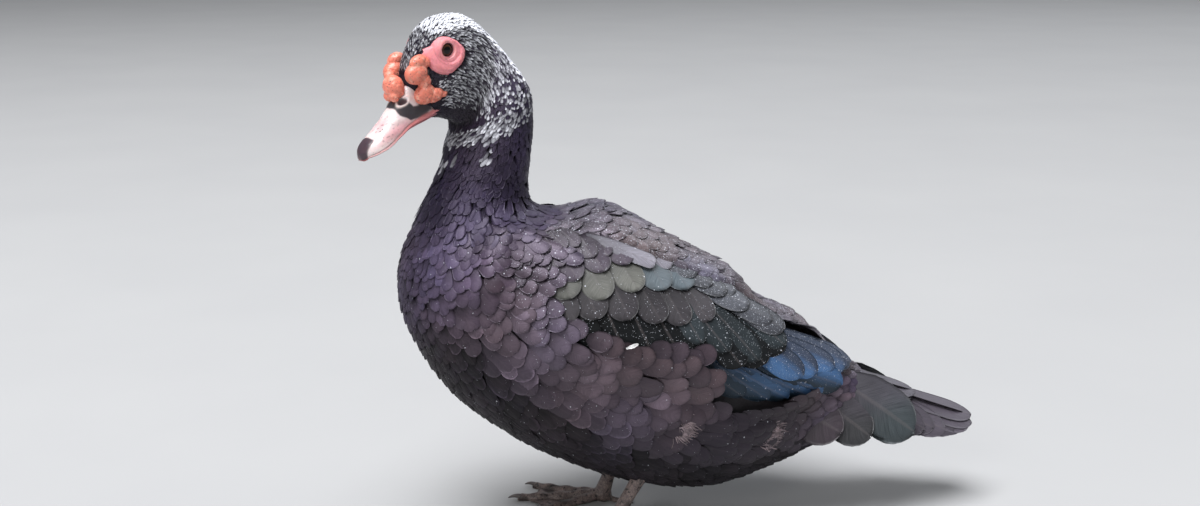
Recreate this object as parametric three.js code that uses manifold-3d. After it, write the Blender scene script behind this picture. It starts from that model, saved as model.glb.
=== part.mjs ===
// A muscovy duck as a still, life-size model, standing with its neck up and its head turned to its left.
// Millimetres, +Z up, the floor at z = 0. The duck faces -Y, and +X is its left side.
import * as THREE from "three";
import { mergeVertices } from "three/addons/utils/BufferGeometryUtils.js";
import Module from "manifold-3d";

const wasm = await Module();
wasm.setup();

// Driving dimensions
const GAP = 0.3;
const HEAD_TURN = 34; // degrees, to the duck's left
const HEAD_DROP = 24; // degrees, bill below level
const GAPE_AT = [22, -155.4, 381.9]; // middle of the mouth's rear corners
const EYE_AT = [-25, 16.5, 44]; // ahead of the gape, to the side, above the gape
const EYE_RADIUS = 7.4;
const BILL_LENGTH = 76;
const ANKLE_AT = [38, 30, 60];
const SOLE_TURN = 8; // degrees that each foot points outwards
const TOE_LENGTH = 80;
const VANE_THICK = 0.9;

// Small helpers
const v3 = (x, y, z) => new THREE.Vector3(x, y, z);
const rad = THREE.MathUtils.degToRad;
const lerp = THREE.MathUtils.lerp;
const clamp = THREE.MathUtils.clamp;
const smooth = THREE.MathUtils.smoothstep;

// Value at x of a smooth curve through [x, y] knots, without overshoot
function through(knots, x) {
  const n = knots.length;
  if (x <= knots[0][0]) return knots[0][1];
  if (x >= knots[n - 1][0]) return knots[n - 1][1];
  let i = 0;
  while (x > knots[i + 1][0]) i++;
  const slope = (j) => {
    if (j <= 0 || j >= n - 1) return 0;
    const before = (knots[j][1] - knots[j - 1][1]) / (knots[j][0] - knots[j - 1][0]);
    const after = (knots[j + 1][1] - knots[j][1]) / (knots[j + 1][0] - knots[j][0]);
    return before * after <= 0 ? 0 : (2 * before * after) / (before + after);
  };
  const width = knots[i + 1][0] - knots[i][0];
  const t = (x - knots[i][0]) / width;
  const a = slope(i) * width;
  const b = slope(i + 1) * width;
  const rise = knots[i + 1][1] - knots[i][1];
  return knots[i][1] + t * a + t * t * (3 * rise - 2 * a - b) + t * t * t * (a + b - 2 * rise);
}

// The head's own frame: ahead along the mouth line, left, and up
const headAhead = v3(Math.sin(rad(HEAD_TURN)), -Math.cos(rad(HEAD_TURN)), 0);
const headLeft = v3(Math.cos(rad(HEAD_TURN)), Math.sin(rad(HEAD_TURN)), 0);
const headUp = headAhead.clone().multiplyScalar(Math.sin(rad(HEAD_DROP)));
headUp.z = Math.cos(rad(HEAD_DROP));
headAhead.multiplyScalar(Math.cos(rad(HEAD_DROP)));
headAhead.z = -Math.sin(rad(HEAD_DROP));

function inHead(ahead, left, up) {
  return v3(...GAPE_AT)
    .addScaledVector(headAhead, ahead)
    .addScaledVector(headLeft, left)
    .addScaledVector(headUp, up);
}

// Cross-sections of head, neck and trunk, each a back point, a front point and a half width.
// Head sections are in the head's frame as [ahead, up], and the others are [y, z] in the part's frame.
const HEAD_SECTIONS = [
  { back: [13, 32], front: [3, -6], half: 13.5 },
  { back: [6, 43], front: [-4, -9], half: 17 },
  { back: [-7, 54], front: [-9, -12.5], half: 20.5 },
  { back: [-26, 63], front: [-14, -16.5], half: 24 },
  { back: [-50, 60], front: [-18, -20.5], half: 27 },
  { back: [-72, 41], front: [-23, -25.5], half: 29 },
];
const BODY_SECTIONS = [
  { back: [-75, 404], front: [-133, 359], half: 31, turn: 22, aside: 2 },
  { back: [-67, 372], front: [-139, 348], half: 32, turn: 13, aside: 0 },
  { back: [-68, 340], front: [-144, 331], half: 34, turn: 5 },
  { back: [-70, 315], front: [-155, 308], half: 38 },
  { back: [-68, 300], front: [-168, 280], half: 47 },
  { back: [-57, 292], front: [-181, 246], half: 60 },
  { back: [-40, 289], front: [-181, 209], half: 73 },
  { back: [-20, 287], front: [-164, 168], half: 82 },
  { back: [4, 280], front: [-138, 131], half: 88 },
  { back: [32, 266], front: [-102, 100], half: 91 },
  { back: [62, 249], front: [-61, 74], half: 92 },
  { back: [92, 231], front: [-13, 53], half: 91 },
  { back: [120, 214], front: [37, 38], half: 87 },
  { back: [146, 197], front: [83, 33], half: 78 },
  { back: [170, 180], front: [122, 40], half: 65 },
  { back: [193, 163], front: [157, 50], half: 50 },
  { back: [214, 146], front: [189, 64], half: 35 },
  { back: [236, 130], front: [222, 80], half: 22 },
];
const HEAD_END = HEAD_SECTIONS.length - 0.5;
const NECK_END = HEAD_SECTIONS.length + 4.5;
const TRUNK_END = HEAD_SECTIONS.length + BODY_SECTIONS.length - 2;
const ROUNDNESS = 2.15; // of a section: 2 is an ellipse, and more is boxier

const sections = [
  ...HEAD_SECTIONS.map((s) => ({
    back: inHead(s.back[0], 0, s.back[1]),
    front: inHead(s.front[0], 0, s.front[1]),
    left: headLeft.clone(),
    half: s.half,
  })),
  ...BODY_SECTIONS.map((s) => ({
    back: v3(s.aside ?? 0, ...s.back),
    front: v3(s.aside ?? 0, ...s.front),
    left: v3(Math.cos(rad(s.turn ?? 0)), Math.sin(rad(s.turn ?? 0)), 0),
    half: s.half,
  })),
];

// A Catmull-Rom blend of four values, which may be numbers or vectors
function blend(a, b, c, d, t) {
  const wa = -0.5 * t * (1 - t) ** 2;
  const wb = 1 + t * t * (1.5 * t - 2.5);
  const wc = 0.5 * t * (1 + t * (4 - 3 * t));
  const wd = -0.5 * t * t * (1 - t);
  if (typeof a === "number") return a * wa + b * wb + c * wc + d * wd;
  return v3(0, 0, 0)
    .addScaledVector(a, wa)
    .addScaledVector(b, wb)
    .addScaledVector(c, wc)
    .addScaledVector(d, wd);
}

// The section at station t, counted from the bill's root to the tail's
function sectionAt(t) {
  const last = sections.length - 1;
  const i = clamp(Math.floor(t), 0, last - 1);
  const pick = (k) => sections[clamp(i + k, 0, last)];
  const mix = (key) => blend(pick(-1)[key], pick(0)[key], pick(1)[key], pick(2)[key], t - i);
  return { back: mix("back"), front: mix("front"), left: mix("left").normalize(), half: mix("half") };
}

const power = (value, exponent) => Math.sign(value) * Math.abs(value) ** exponent;

// A point of the skin: angle 0 is the back, a quarter turn is the left side, and half a turn is the front
function skinPoint(t, angle, lift = 0) {
  const s = sectionAt(t);
  const middle = s.back.clone().lerp(s.front, 0.5);
  const spoke = s.back.clone().sub(middle);
  const point = middle
    .addScaledVector(spoke, power(Math.cos(angle), 2 / ROUNDNESS))
    .addScaledVector(s.left, s.half * power(Math.sin(angle), 2 / ROUNDNESS));
  return lift ? point.addScaledVector(skinNormal(t, angle), lift) : point;
}

function skinNormal(t, angle) {
  const step = 0.02;
  const along = skinPoint(t + step, angle).sub(skinPoint(t - step, angle));
  const around = skinPoint(t, angle + step).sub(skinPoint(t, angle - step));
  return along.cross(around).normalize().negate();
}

// A closed solid from rings of points, each ring counted the same way, with a fan over each end
function skinOver(rings) {
  const around = rings[0].length;
  const positions = rings.flat().flatMap((p) => [p.x, p.y, p.z]);
  const index = [];
  const at = (row, k) => row * around + (k % around);
  for (let row = 0; row < rings.length - 1; row++)
    for (let k = 0; k < around; k++) {
      index.push(at(row, k), at(row, k + 1), at(row + 1, k));
      index.push(at(row, k + 1), at(row + 1, k + 1), at(row + 1, k));
    }
  for (const row of [0, rings.length - 1]) {
    const middle = rings[row].reduce((sum, p) => sum.add(p), v3(0, 0, 0)).divideScalar(around);
    const centre = positions.length / 3;
    positions.push(middle.x, middle.y, middle.z);
    for (let k = 0; k < around; k++)
      if (row) index.push(at(row, k), at(row, k + 1), centre);
      else index.push(at(row, k + 1), at(row, k), centre);
  }
  return solid(geometryOf(positions, index));
}

function geometryOf(positions, index) {
  const geometry = new THREE.BufferGeometry();
  geometry.setAttribute("position", new THREE.Float32BufferAttribute(positions, 3));
  geometry.setIndex(index);
  return geometry;
}

// A closed three.js geometry as a solid that can be joined and cut, its faces turned outwards
function solid(geometry) {
  const bare = geometry.clone();
  for (const name of ["normal", "uv"]) if (bare.getAttribute(name)) bare.deleteAttribute(name);
  const merged = mergeVertices(bare, 1e-4);
  const triVerts = new Uint32Array(merged.index.array);
  const vertProperties = new Float32Array(merged.attributes.position.array);
  const made = new wasm.Manifold(new wasm.Mesh({ numProp: 3, vertProperties, triVerts }));
  if (made.volume() >= 0) return made;
  for (let i = 0; i < triVerts.length; i += 3)
    [triVerts[i + 1], triVerts[i + 2]] = [triVerts[i + 2], triVerts[i + 1]];
  return new wasm.Manifold(new wasm.Mesh({ numProp: 3, vertProperties, triVerts }));
}

const join = (pieces) => pieces.reduce((sum, piece) => sum.add(piece));
const cut = (body, tools) => tools.reduce((rest, tool) => rest.subtract(tool), body);
const largest = (body) => body.decompose().reduce((a, b) => (a.volume() > b.volume() ? a : b));

// An ellipsoid with its own three directions, as a solid
function egg(centre, radii, directions, detail = 2) {
  const ball = new THREE.IcosahedronGeometry(1, detail);
  const matrix = new THREE.Matrix4().makeBasis(
    directions[0].clone().multiplyScalar(radii[0]),
    directions[1].clone().multiplyScalar(radii[1]),
    directions[2].clone().multiplyScalar(radii[2]),
  );
  matrix.setPosition(centre);
  return solid(ball.applyMatrix4(matrix));
}

const headDirections = [headAhead, headLeft, headUp];
const headEgg = (at, radii, detail) => egg(inHead(...at), radii, headDirections, detail);

// Head, neck and trunk are lengths of the one skin
function skinLength(from, to, rows, around, lift = 0) {
  const rings = [];
  for (let row = 0; row <= rows; row++) {
    const t = lerp(from, to, row / rows);
    const ring = [];
    for (let k = 0; k < around; k++) ring.push(skinPoint(t, (k / around) * 2 * Math.PI, lift));
    rings.push(ring);
  }
  return skinOver(rings);
}

const AROUND = 30;
const JOINT_STEP = 0.016; // of a station, which leaves the gap between two lengths
const headSkin = (lift) => skinLength(0, HEAD_END - JOINT_STEP, 9, AROUND, lift);
const neckSkin = (lift) => skinLength(HEAD_END + JOINT_STEP, NECK_END - JOINT_STEP, 8, AROUND, lift);
const trunkSkin = (lift) => skinLength(NECK_END + JOINT_STEP, TRUNK_END, 18, AROUND, lift);

// The bill: culmen and mouth heights and half widths by distance ahead of the gape
const CULMEN = [
  [-2, 30], [14, 29], [27, 23.5], [36, 18], [48, 12.5], [60, 8.5], [69, 5.5], [75, 1.5], [76, 0],
];
const MOUTH = [[-2, 0], [12, 0.5], [28, 1.5], [42, -0.5], [54, -2.5], [64, -2.5], [72, -2.5], [76, -4]];
const BILL_HALF = [
  [-2, 13], [14, 13], [28, 12.8], [44, 13.6], [56, 14], [64, 12.6], [70, 9.5], [74, 5.5], [76, 2.5],
];
const LOWER_DEPTH = [[-2, 6.5], [20, 5.5], [45, 3.6], [62, 3], [72, 2]];
const BILL_ROWS = 12;
const BILL_AROUND = 9; // points over the top, mouth edge to mouth edge

function upperBillRing(ahead, grow = 0) {
  const mouth = through(MOUTH, ahead) - grow;
  const height = through(CULMEN, ahead) - mouth + grow;
  const half = through(BILL_HALF, ahead) + grow;
  const ring = [];
  for (let k = 0; k < BILL_AROUND; k++) {
    const angle = lerp(-Math.PI / 2, Math.PI / 2, k / (BILL_AROUND - 1));
    ring.push(inHead(ahead, half * power(Math.sin(angle), 0.8), mouth + height * Math.cos(angle) ** 0.9));
  }
  for (let k = 1; k < 4; k++) ring.push(inHead(ahead, lerp(half, -half, k / 4), mouth));
  return ring;
}

function upperBill(grow = 0) {
  const rings = [];
  for (let row = 0; row <= BILL_ROWS; row++) {
    const share = Math.sin(((row / BILL_ROWS) * Math.PI) / 2) ** 0.9;
    rings.push(upperBillRing(lerp(-2, BILL_LENGTH + grow, share), grow));
  }
  return skinOver(rings);
}

function lowerBill() {
  const rings = [];
  for (let row = 0; row <= 8; row++) {
    const ahead = lerp(-2, BILL_LENGTH - 5, row / 8);
    const top = through(MOUTH, ahead) - GAP;
    const half = (through(BILL_HALF, ahead) - 1.6) * (1 - 0.25 * smooth(row / 8, 0.85, 1));
    const depth = through(LOWER_DEPTH, ahead);
    const ring = [];
    for (let k = 0; k <= 6; k++) {
      const angle = lerp(Math.PI / 2, -Math.PI / 2, k / 6);
      ring.push(inHead(ahead, half * Math.sin(angle), top - depth * Math.cos(angle)));
    }
    for (let k = 1; k < 3; k++) ring.push(inHead(ahead, lerp(-half, half, k / 3), top));
    rings.push(ring);
  }
  return skinOver(rings);
}

const headCutter = headSkin(GAP);
const NOSTRIL_AT = [23.5, 7.2, 21];
const NOSTRIL_RADII = [4.2, 2.4, 2.2];
const onSide = (at, side) => [at[0], side * at[1], at[2]];
const nostril = (side) => headEgg(onSide(NOSTRIL_AT, side), NOSTRIL_RADII, 1);
const NAIL_AT = [74, 0, 1];
const NAIL_RADII = [13, 8.2, 9];
const grown = (radii, grow) => radii.map((r) => r + grow);
const nailShape = (grow) => headEgg(NAIL_AT, grown(NAIL_RADII, grow));

function billNodes() {
  const whole = upperBill();
  const nail = whole.intersect(nailShape(0));
  const upper = cut(whole, [headCutter, nailShape(GAP), nostril(1), nostril(-1)]);
  return { bill_upper: upper, bill_nail: nail, bill_lower: cut(lowerBill(), [headCutter]) };
}

// Bare lumps of the face: place and radii in the head's frame, for the left side
const SIDE_LUMPS = [
  { at: [0.5, 15, 46], radii: [6.5, 5, 5.5] },
  { at: [5, 18, 50], radii: [3, 2.6, 3] },
  { at: [8.5, 14.5, 39], radii: [8.5, 7.5, 8] },
  { at: [12, 17, 33], radii: [3.6, 3.4, 3.4] },
  { at: [3, 16, 31], radii: [4.5, 4, 4.5] },
  { at: [8.5, 14.5, 20.5], radii: [8.5, 5.5, 6.2] },
  { at: [-1, 17, 18.5], radii: [7, 4.8, 5] },
  { at: [-8, 18.5, 17], radii: [4.5, 3.4, 3.6] },
];
const KNOB_LUMPS = [
  { at: [22, 0, 33], radii: [8.6, 8.8, 10.5] },
  { at: [27, 3.5, 27.5], radii: [4.2, 4.4, 4.6] },
  { at: [27, -3.5, 27.5], radii: [4.2, 4.4, 4.6] },
  { at: [17, -7.5, 39.5], radii: [5, 4.4, 4.6] },
];

const LARGE_LUMP = 8; // a lump with a longer radius than this has more faces

function lumps(list, side, grow = 0) {
  const one = ({ at, radii }) =>
    headEgg(onSide(at, side), grown(radii, grow), radii[0] > LARGE_LUMP ? 2 : 1);
  return join(list.map(one));
}

const billCutter = upperBill(GAP);
const knob = () => cut(lumps(KNOB_LUMPS, 1), [headCutter, billCutter]);
const knobCutter = lumps(KNOB_LUMPS, 1, GAP);
const caruncles = (side) => cut(lumps(SIDE_LUMPS, side), [headCutter, billCutter, knobCutter]);

// The bare patch round each eye, with a rim of lid standing up from it
const PATCH_LIFT = 1.7;
const PATCH_AT = [-21, 21, 40.5];
const PATCH_RADII = [20.5, 12, 12];
const LID_RADII = [7, 1.5];
const LID_OUT = 5.6; // how far the rim's middle lies outside the eye's

function facePatch(side, eye) {
  const region = headEgg(onSide(PATCH_AT, side), PATCH_RADII);
  const plate = headSkin(PATCH_LIFT).intersect(region);
  const ring = new THREE.TorusGeometry(LID_RADII[0], LID_RADII[1], 4, 14);
  const matrix = new THREE.Matrix4().makeBasis(headAhead, headUp, headLeft);
  matrix.setPosition(inHead(EYE_AT[0], side * (EYE_AT[1] + LID_OUT), EYE_AT[2]));
  const body = join([plate, solid(ring.applyMatrix4(matrix))]);
  return cut(body, [headCutter, eye, lumps(SIDE_LUMPS, side, GAP)]);
}

// The folded wing lies on a smooth envelope round a straight line from shoulder to tail.
const WING_FROM = [-67, 212]; // y and z of the line's start
const WING_SLOPE = 18.3; // degrees below level
const ENVELOPE_HALF = [
  [-40, 74], [-20, 82], [22, 95], [60, 101], [120, 101], [180, 90], [240, 67], [290, 40], [330, 20],
];
const ENVELOPE_TOP = [
  [-40, 84], [22, 90], [75, 81], [123, 71.5], [194, 60], [263, 41], [316, 18], [340, 10],
];
const wingAlong = v3(0, Math.cos(rad(WING_SLOPE)), -Math.sin(rad(WING_SLOPE)));
const wingUp = v3(0, Math.sin(rad(WING_SLOPE)), Math.cos(rad(WING_SLOPE)));

// A point of the envelope: along the line, then round it from the side upwards, both in millimetres
function wingSurface(along, round, side) {
  const half = through(ENVELOPE_HALF, along);
  const top = through(ENVELOPE_TOP, along);
  const angle = round / ((half + top) / 2);
  return v3(0, ...WING_FROM)
    .addScaledVector(wingAlong, along)
    .addScaledVector(wingUp, top * Math.sin(angle))
    .add(v3(side * half * Math.cos(angle), 0, 0));
}

function wingNormal(along, round, side) {
  const a = wingSurface(along + 1, round, side).sub(wingSurface(along - 1, round, side));
  const b = wingSurface(along, round + 1, side).sub(wingSurface(along, round - 1, side));
  return a.cross(b).normalize().multiplyScalar(side);
}

function wingPoint(along, round, side, lift) {
  return wingSurface(along, round, side).addScaledVector(wingNormal(along, round, side), lift);
}

// The closed mesh of a vane: each ring holds its upper points and then its lower points, backwards
function plate(rings, columns) {
  const around = 2 * columns + 2;
  const positions = rings.flat().flatMap((p) => [p.x, p.y, p.z]);
  const index = [];
  const at = (row, k) => row * around + (k % around);
  const under = (k) => around - 1 - k;
  for (let row = 0; row < rings.length - 1; row++) {
    for (let k = 0; k < columns; k++) {
      index.push(at(row, k), at(row, k + 1), at(row + 1, k));
      index.push(at(row, k + 1), at(row + 1, k + 1), at(row + 1, k));
      index.push(at(row, under(k)), at(row + 1, under(k)), at(row, under(k + 1)));
      index.push(at(row, under(k + 1)), at(row + 1, under(k)), at(row + 1, under(k + 1)));
    }
    for (const k of [columns, around - 1]) {
      index.push(at(row, k), at(row, k + 1), at(row + 1, k));
      index.push(at(row, k + 1), at(row + 1, k + 1), at(row + 1, k));
    }
  }
  const last = rings.length - 1;
  for (let k = 0; k < columns; k++) {
    index.push(at(0, k + 1), at(0, k), at(0, under(k)));
    index.push(at(0, k + 1), at(0, under(k)), at(0, under(k + 1)));
    index.push(at(last, k), at(last, k + 1), at(last, under(k)));
    index.push(at(last, k + 1), at(last, under(k + 1)), at(last, under(k)));
  }
  return solid(geometryOf(positions, index));
}

// The wing's own body under its feathers: a slab of the envelope
const CORE_REACH = [-26, 216];
const CORE_LOW = [[-26, 8], [20, -8], [120, 0], [216, 24]];
const CORE_HIGH = [[-26, 40], [10, 84], [90, 90], [150, 84], [216, 44]];
const CORE_DEPTH = 20;
const CORE_BULGE = 6; // how much higher its middle is than its edges

function wingCore(side) {
  const rows = 9;
  const columns = 5;
  const rings = [];
  for (let row = 0; row <= rows; row++) {
    const along = lerp(...CORE_REACH, row / rows);
    const taper = Math.sin(Math.PI * clamp(row / rows, 0.05, 0.95)) ** 0.35;
    const outer = [];
    const inner = [];
    for (let k = 0; k <= columns; k++) {
      const share = k / columns;
      const round = lerp(through(CORE_LOW, along), through(CORE_HIGH, along), share);
      const bulge = taper * Math.sin(Math.PI * clamp(share, 0.06, 0.94)) ** 0.4;
      outer.push(wingPoint(along, round, side, CORE_BULGE * (bulge - 1)));
      inner.push(wingPoint(along, round, side, -CORE_DEPTH));
    }
    rings.push([...outer, ...inner.reverse()]);
  }
  return plate(rings, columns);
}

// One feather as a thin closed vane with a narrow tip. place(reach, aside, lift) gives the point that
// lies reach along the feather, aside from its shaft and lift above the surface.
const VANE_SPREAD = [[0, 0.55], [0.4, 0.95], [0.72, 1], [0.9, 0.8], [1, 0.36]];
const VANE_STEPS = [0, 0.45, 0.8, 1];
const ROOT_DEPTH = 3.4; // how far a root lies below the surface that it grows from
const VANE_SAG = 0.8; // how much lower a vane lies near its root than at its tip

function vane(place, spec) {
  const rings = VANE_STEPS.map((s) => {
    const half = spec.width * 0.5 * through(VANE_SPREAD, s);
    const thick = VANE_THICK * (1 - 0.4 * s);
    const height = s ? spec.height - VANE_SAG * (1 - s) : -ROOT_DEPTH;
    const tilt = spec.tilt * Math.min(1, 2 * s);
    const edge = (c, face) => place(s * spec.length, c * half, height - tilt * c + (face * thick) / 2);
    return [edge(-1, 1), edge(1, 1), edge(1, -1), edge(-1, -1)];
  });
  return plate(rings, 1);
}

// Tiers of the folded wing. Each runs its feather tips through places on the envelope, given as
// along and round, and each feather's heading is in degrees below the wing's line.
const WING_TIERS = {
  primaries: {
    count: 2,
    tips: [[276, 2], [312, 16]],
    heading: [-4, 2],
    length: [150, 156],
    width: 24,
    height: [-7, -9],
    tilt: -2.4,
  },
  secondaries: {
    count: 6,
    tips: [[122, -24], [200, -32], [272, 0]],
    heading: [30, 12],
    length: [84, 120],
    width: 30,
    height: [2, 1],
    tilt: -2.5,
  },
  tertials: {
    count: 3,
    tips: [[236, 22], [296, 32]],
    heading: [18, 6],
    length: [112, 150],
    width: 31,
    height: [6, 1],
    tilt: -2,
  },
  greater_coverts: {
    count: 7,
    tips: [[48, -8], [112, 4], [190, 26]],
    heading: [44, 20],
    length: [50, 74],
    width: 26,
    height: [7, 6],
    tilt: -2.1,
  },
  median_coverts: {
    count: 6,
    tips: [[26, 16], [76, 32], [146, 52]],
    heading: [44, 22],
    length: [40, 56],
    width: 28,
    height: [6.6, 5],
    tilt: -1.6,
  },
  lesser_coverts: {
    count: 5,
    tips: [[8, 38], [48, 56], [102, 76]],
    heading: [42, 20],
    length: [36, 46],
    width: 26,
    height: [5, 7.6],
    tilt: -1.6,
  },
  scapulars: {
    count: 4,
    tips: [[116, 96], [206, 44]],
    heading: [4, 12],
    length: [84, 92],
    width: 31,
    height: [10.5, 11],
    tilt: 3.4,
  },
};

// The point at a share of the way along a line through places, all its stretches counted alike
function alongPlaces(places, share) {
  const stretch = Math.min(Math.floor(share * (places.length - 1)), places.length - 2);
  const t = share * (places.length - 1) - stretch;
  return [0, 1].map((i) => lerp(places[stretch][i], places[stretch + 1][i], t));
}

function wingTier(tier, side) {
  const vanes = [];
  for (let i = 0; i < tier.count; i++) {
    const share = i / (tier.count - 1);
    const [tipAlong, tipRound] = alongPlaces(tier.tips, share);
    const heading = rad(lerp(...tier.heading, share));
    const length = lerp(...tier.length, share);
    const place = (reach, aside, lift) => {
      const back = length - reach;
      const along = tipAlong - back * Math.cos(heading) + aside * Math.sin(heading);
      const round = tipRound + back * Math.sin(heading) + aside * Math.cos(heading);
      return wingPoint(along, round, side, lift);
    };
    vanes.push(vane(place, { ...tier, length, height: lerp(...tier.height, share) }));
  }
  return vanes;
}

const tailRoot = (from, lift) => skinLength(from, sections.length - 1, 3, 20, lift);
const trunkCutter = trunkSkin(GAP);
const wingCutters = [trunkCutter, neckSkin(GAP), tailRoot(TRUNK_END - JOINT_STEP, GAP)];

function wing(side) {
  const vanes = Object.values(WING_TIERS).flatMap((tier) => wingTier(tier, side));
  return cut(join([wingCore(side), ...vanes]), wingCutters);
}

// The tail: a short root that carries on the trunk, with feathers fanned from it in tiers. Angles are
// in degrees, and spread, fall and rise are where the roots lie beside, below and above the middle.
const TAIL_ROOT = [208, 126];
const TAIL_SHIFT = 1.7; // how much lower the right half's feathers lie than the left half's
const TAIL_TIERS = {
  rectrices: {
    pairs: 6,
    length: 146,
    shorter: 0.5,
    fan: 19,
    drop: 17,
    more: 2,
    roll: 12,
    spread: 16,
    fall: 15,
    rise: 4,
    width: 31,
  },
  upper_coverts: {
    pairs: 3,
    length: 86,
    shorter: 0.2,
    fan: 13,
    drop: 18,
    more: 2,
    roll: 10,
    spread: 12,
    fall: 11,
    rise: 9,
    width: 27,
  },
  under_coverts: {
    pairs: 3,
    length: 74,
    shorter: 0.2,
    fan: 16,
    drop: 26,
    more: 0,
    roll: 6,
    spread: 15,
    fall: 9,
    rise: -16,
    width: 27,
  },
};

function tailVane(tier, share, side) {
  const length = tier.length * (1 - tier.shorter * share ** 1.6);
  const turn = rad(tier.fan * share + 1) * side;
  const dip = rad(tier.drop + tier.more * share);
  const aim = v3(Math.sin(turn) * Math.cos(dip), Math.cos(turn) * Math.cos(dip), -Math.sin(dip));
  const level = v3(Math.cos(turn), -Math.sin(turn), 0);
  const upright = level.clone().cross(aim);
  const roll = rad(tier.roll * share) * side;
  const across = level.clone().multiplyScalar(Math.cos(roll)).addScaledVector(upright, -Math.sin(roll));
  const face = across.clone().cross(aim);
  const lower = tier.fall * share + (side < 0 ? TAIL_SHIFT : 0);
  const root = v3(side * (4 + tier.spread * share), TAIL_ROOT[0], TAIL_ROOT[1] + tier.rise - lower);
  const place = (reach, aside, lift) =>
    root.clone().addScaledVector(aim, reach).addScaledVector(across, aside).addScaledVector(face, lift);
  return vane(place, { ...tier, length, height: -ROOT_DEPTH, tilt: 0 });
}

function tail() {
  const vanes = [];
  for (const tier of Object.values(TAIL_TIERS))
    for (let i = 0; i < tier.pairs; i++)
      for (const side of [1, -1]) vanes.push(tailVane(tier, i / (tier.pairs - 1), side));
  return cut(join([tailRoot(TRUNK_END + 2 * JOINT_STEP, 0), ...vanes]), [trunkCutter]);
}

// Legs and webbed feet
function tube(points, radii, around = 10) {
  const rings = points.map((p, i) => {
    const next = points[Math.min(i + 1, points.length - 1)];
    const before = points[Math.max(i - 1, 0)];
    const aim = next.clone().sub(before).normalize();
    const side = v3(1, 0, 0).cross(aim).length() > 0.3 ? v3(1, 0, 0) : v3(0, 1, 0);
    const a = aim.clone().cross(side).normalize();
    const b = aim.clone().cross(a).normalize();
    const ring = [];
    for (let k = 0; k < around; k++) {
      const angle = (k / around) * 2 * Math.PI;
      ring.push(
        p
          .clone()
          .addScaledVector(a, radii[i] * Math.cos(angle))
          .addScaledVector(b, radii[i] * Math.sin(angle)),
      );
    }
    return ring;
  });
  return skinOver(rings);
}

const FOOT_AT = { left: [40, -4], right: [-40, 3] };
const TOES = [
  { turn: 24, length: 0.8, radius: 5 },
  { turn: -2, length: 1, radius: 5.4 },
  { turn: -27, length: 0.92, radius: 5 },
];
const CLAW_LENGTH = 8;
const CLAW_SUNK = 3;

function footPoint(side, ahead, aside, up) {
  const [x, y] = FOOT_AT[side > 0 ? "left" : "right"];
  const turn = rad(SOLE_TURN) * side;
  return v3(
    x + Math.sin(turn) * ahead + Math.cos(turn) * aside * side,
    y - Math.cos(turn) * ahead + Math.sin(turn) * aside * side,
    up,
  );
}

function toePoint(side, toe, reach, up, aside = 0) {
  const turn = rad(toe.turn);
  return footPoint(
    side,
    Math.cos(turn) * reach - Math.sin(turn) * aside,
    -Math.sin(turn) * reach - Math.cos(turn) * aside,
    up,
  );
}

const JOINT_BALL = { radius: 8.8, height: 7 };
const FLOOR_SIZE = [400, 600, 40];
const floorCutter = solid(new THREE.BoxGeometry(...FLOOR_SIZE).translate(0, 0, -FLOOR_SIZE[2] / 2));
const worldDirections = [v3(1, 0, 0), v3(0, 1, 0), v3(0, 0, 1)];
const TOE_ROWS = 2;
const TOE_SIDES = 6;
const TOE_FLAT = 0.82; // the height of a toe's middle over its radius, so that its underside is cut flat
const ARCH = 4; // how much higher toes and webs are at the joint than ahead of it

function toe(side, spec) {
  const length = TOE_LENGTH * spec.length;
  const points = [];
  const radii = [];
  for (let i = 0; i <= TOE_ROWS; i++) {
    const s = i / TOE_ROWS;
    const radius = lerp(spec.radius, spec.radius * 0.72, s) * (i === TOE_ROWS ? 0.6 : 1);
    points.push(toePoint(side, spec, s * length, radius * TOE_FLAT + ARCH * (1 - s) ** 3));
    radii.push(radius);
  }
  return tube(points, radii, TOE_SIDES);
}

function claw(side, spec) {
  const length = TOE_LENGTH * spec.length;
  const points = [];
  const radii = [];
  for (let i = 0; i <= 2; i++) {
    const s = i / 2;
    const reach = length - CLAW_SUNK + s * (CLAW_LENGTH + CLAW_SUNK);
    points.push(toePoint(side, spec, reach, lerp(4, 2.4, s * s)));
    radii.push(lerp(2.6, 0.7, s));
  }
  return tube(points, radii, 5);
}

// Skin between two toes, thin, sagging a little inwards along its front edge
const WEB_THICK = 1.6;
const WEB_RISE = 1.4;
const WEB_START = 8;
const WEB_REACH = 0.93; // of the toes' length
const WEB_NOTCH = 0.3;

function web(side, a, b) {
  const rows = 2;
  const columns = 2;
  const rings = [];
  for (let row = 0; row <= rows; row++) {
    const share = row / rows;
    const upper = [];
    const lower = [];
    for (let k = 0; k <= columns; k++) {
      const c = k / columns;
      const edge = TOE_LENGTH * lerp(a.length, b.length, c) * (WEB_REACH - WEB_NOTCH * c * (1 - c));
      const reach = lerp(WEB_START, edge, share);
      const turn = { turn: lerp(a.turn, b.turn, c) };
      const up = WEB_RISE + ARCH * (1 - share) ** 3;
      upper.push(toePoint(side, turn, reach, up + WEB_THICK));
      lower.push(toePoint(side, turn, reach, up));
    }
    rings.push([...upper, ...lower.reverse()]);
  }
  return plate(rings, columns);
}

const HIND_TOE = { turn: 158, length: 0.27, radius: 3.4 };

function foot(side) {
  const pieces = [...TOES, HIND_TOE].flatMap((spec) => [toe(side, spec), claw(side, spec)]);
  pieces.push(web(side, TOES[0], TOES[1]), web(side, TOES[1], TOES[2]));
  const { radius, height } = JOINT_BALL;
  pieces.push(egg(footPoint(side, 0, 0, height), [radius, radius, radius], worldDirections, 1));
  return cut(join(pieces), [floorCutter, shank(side, GAP)]);
}

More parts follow.
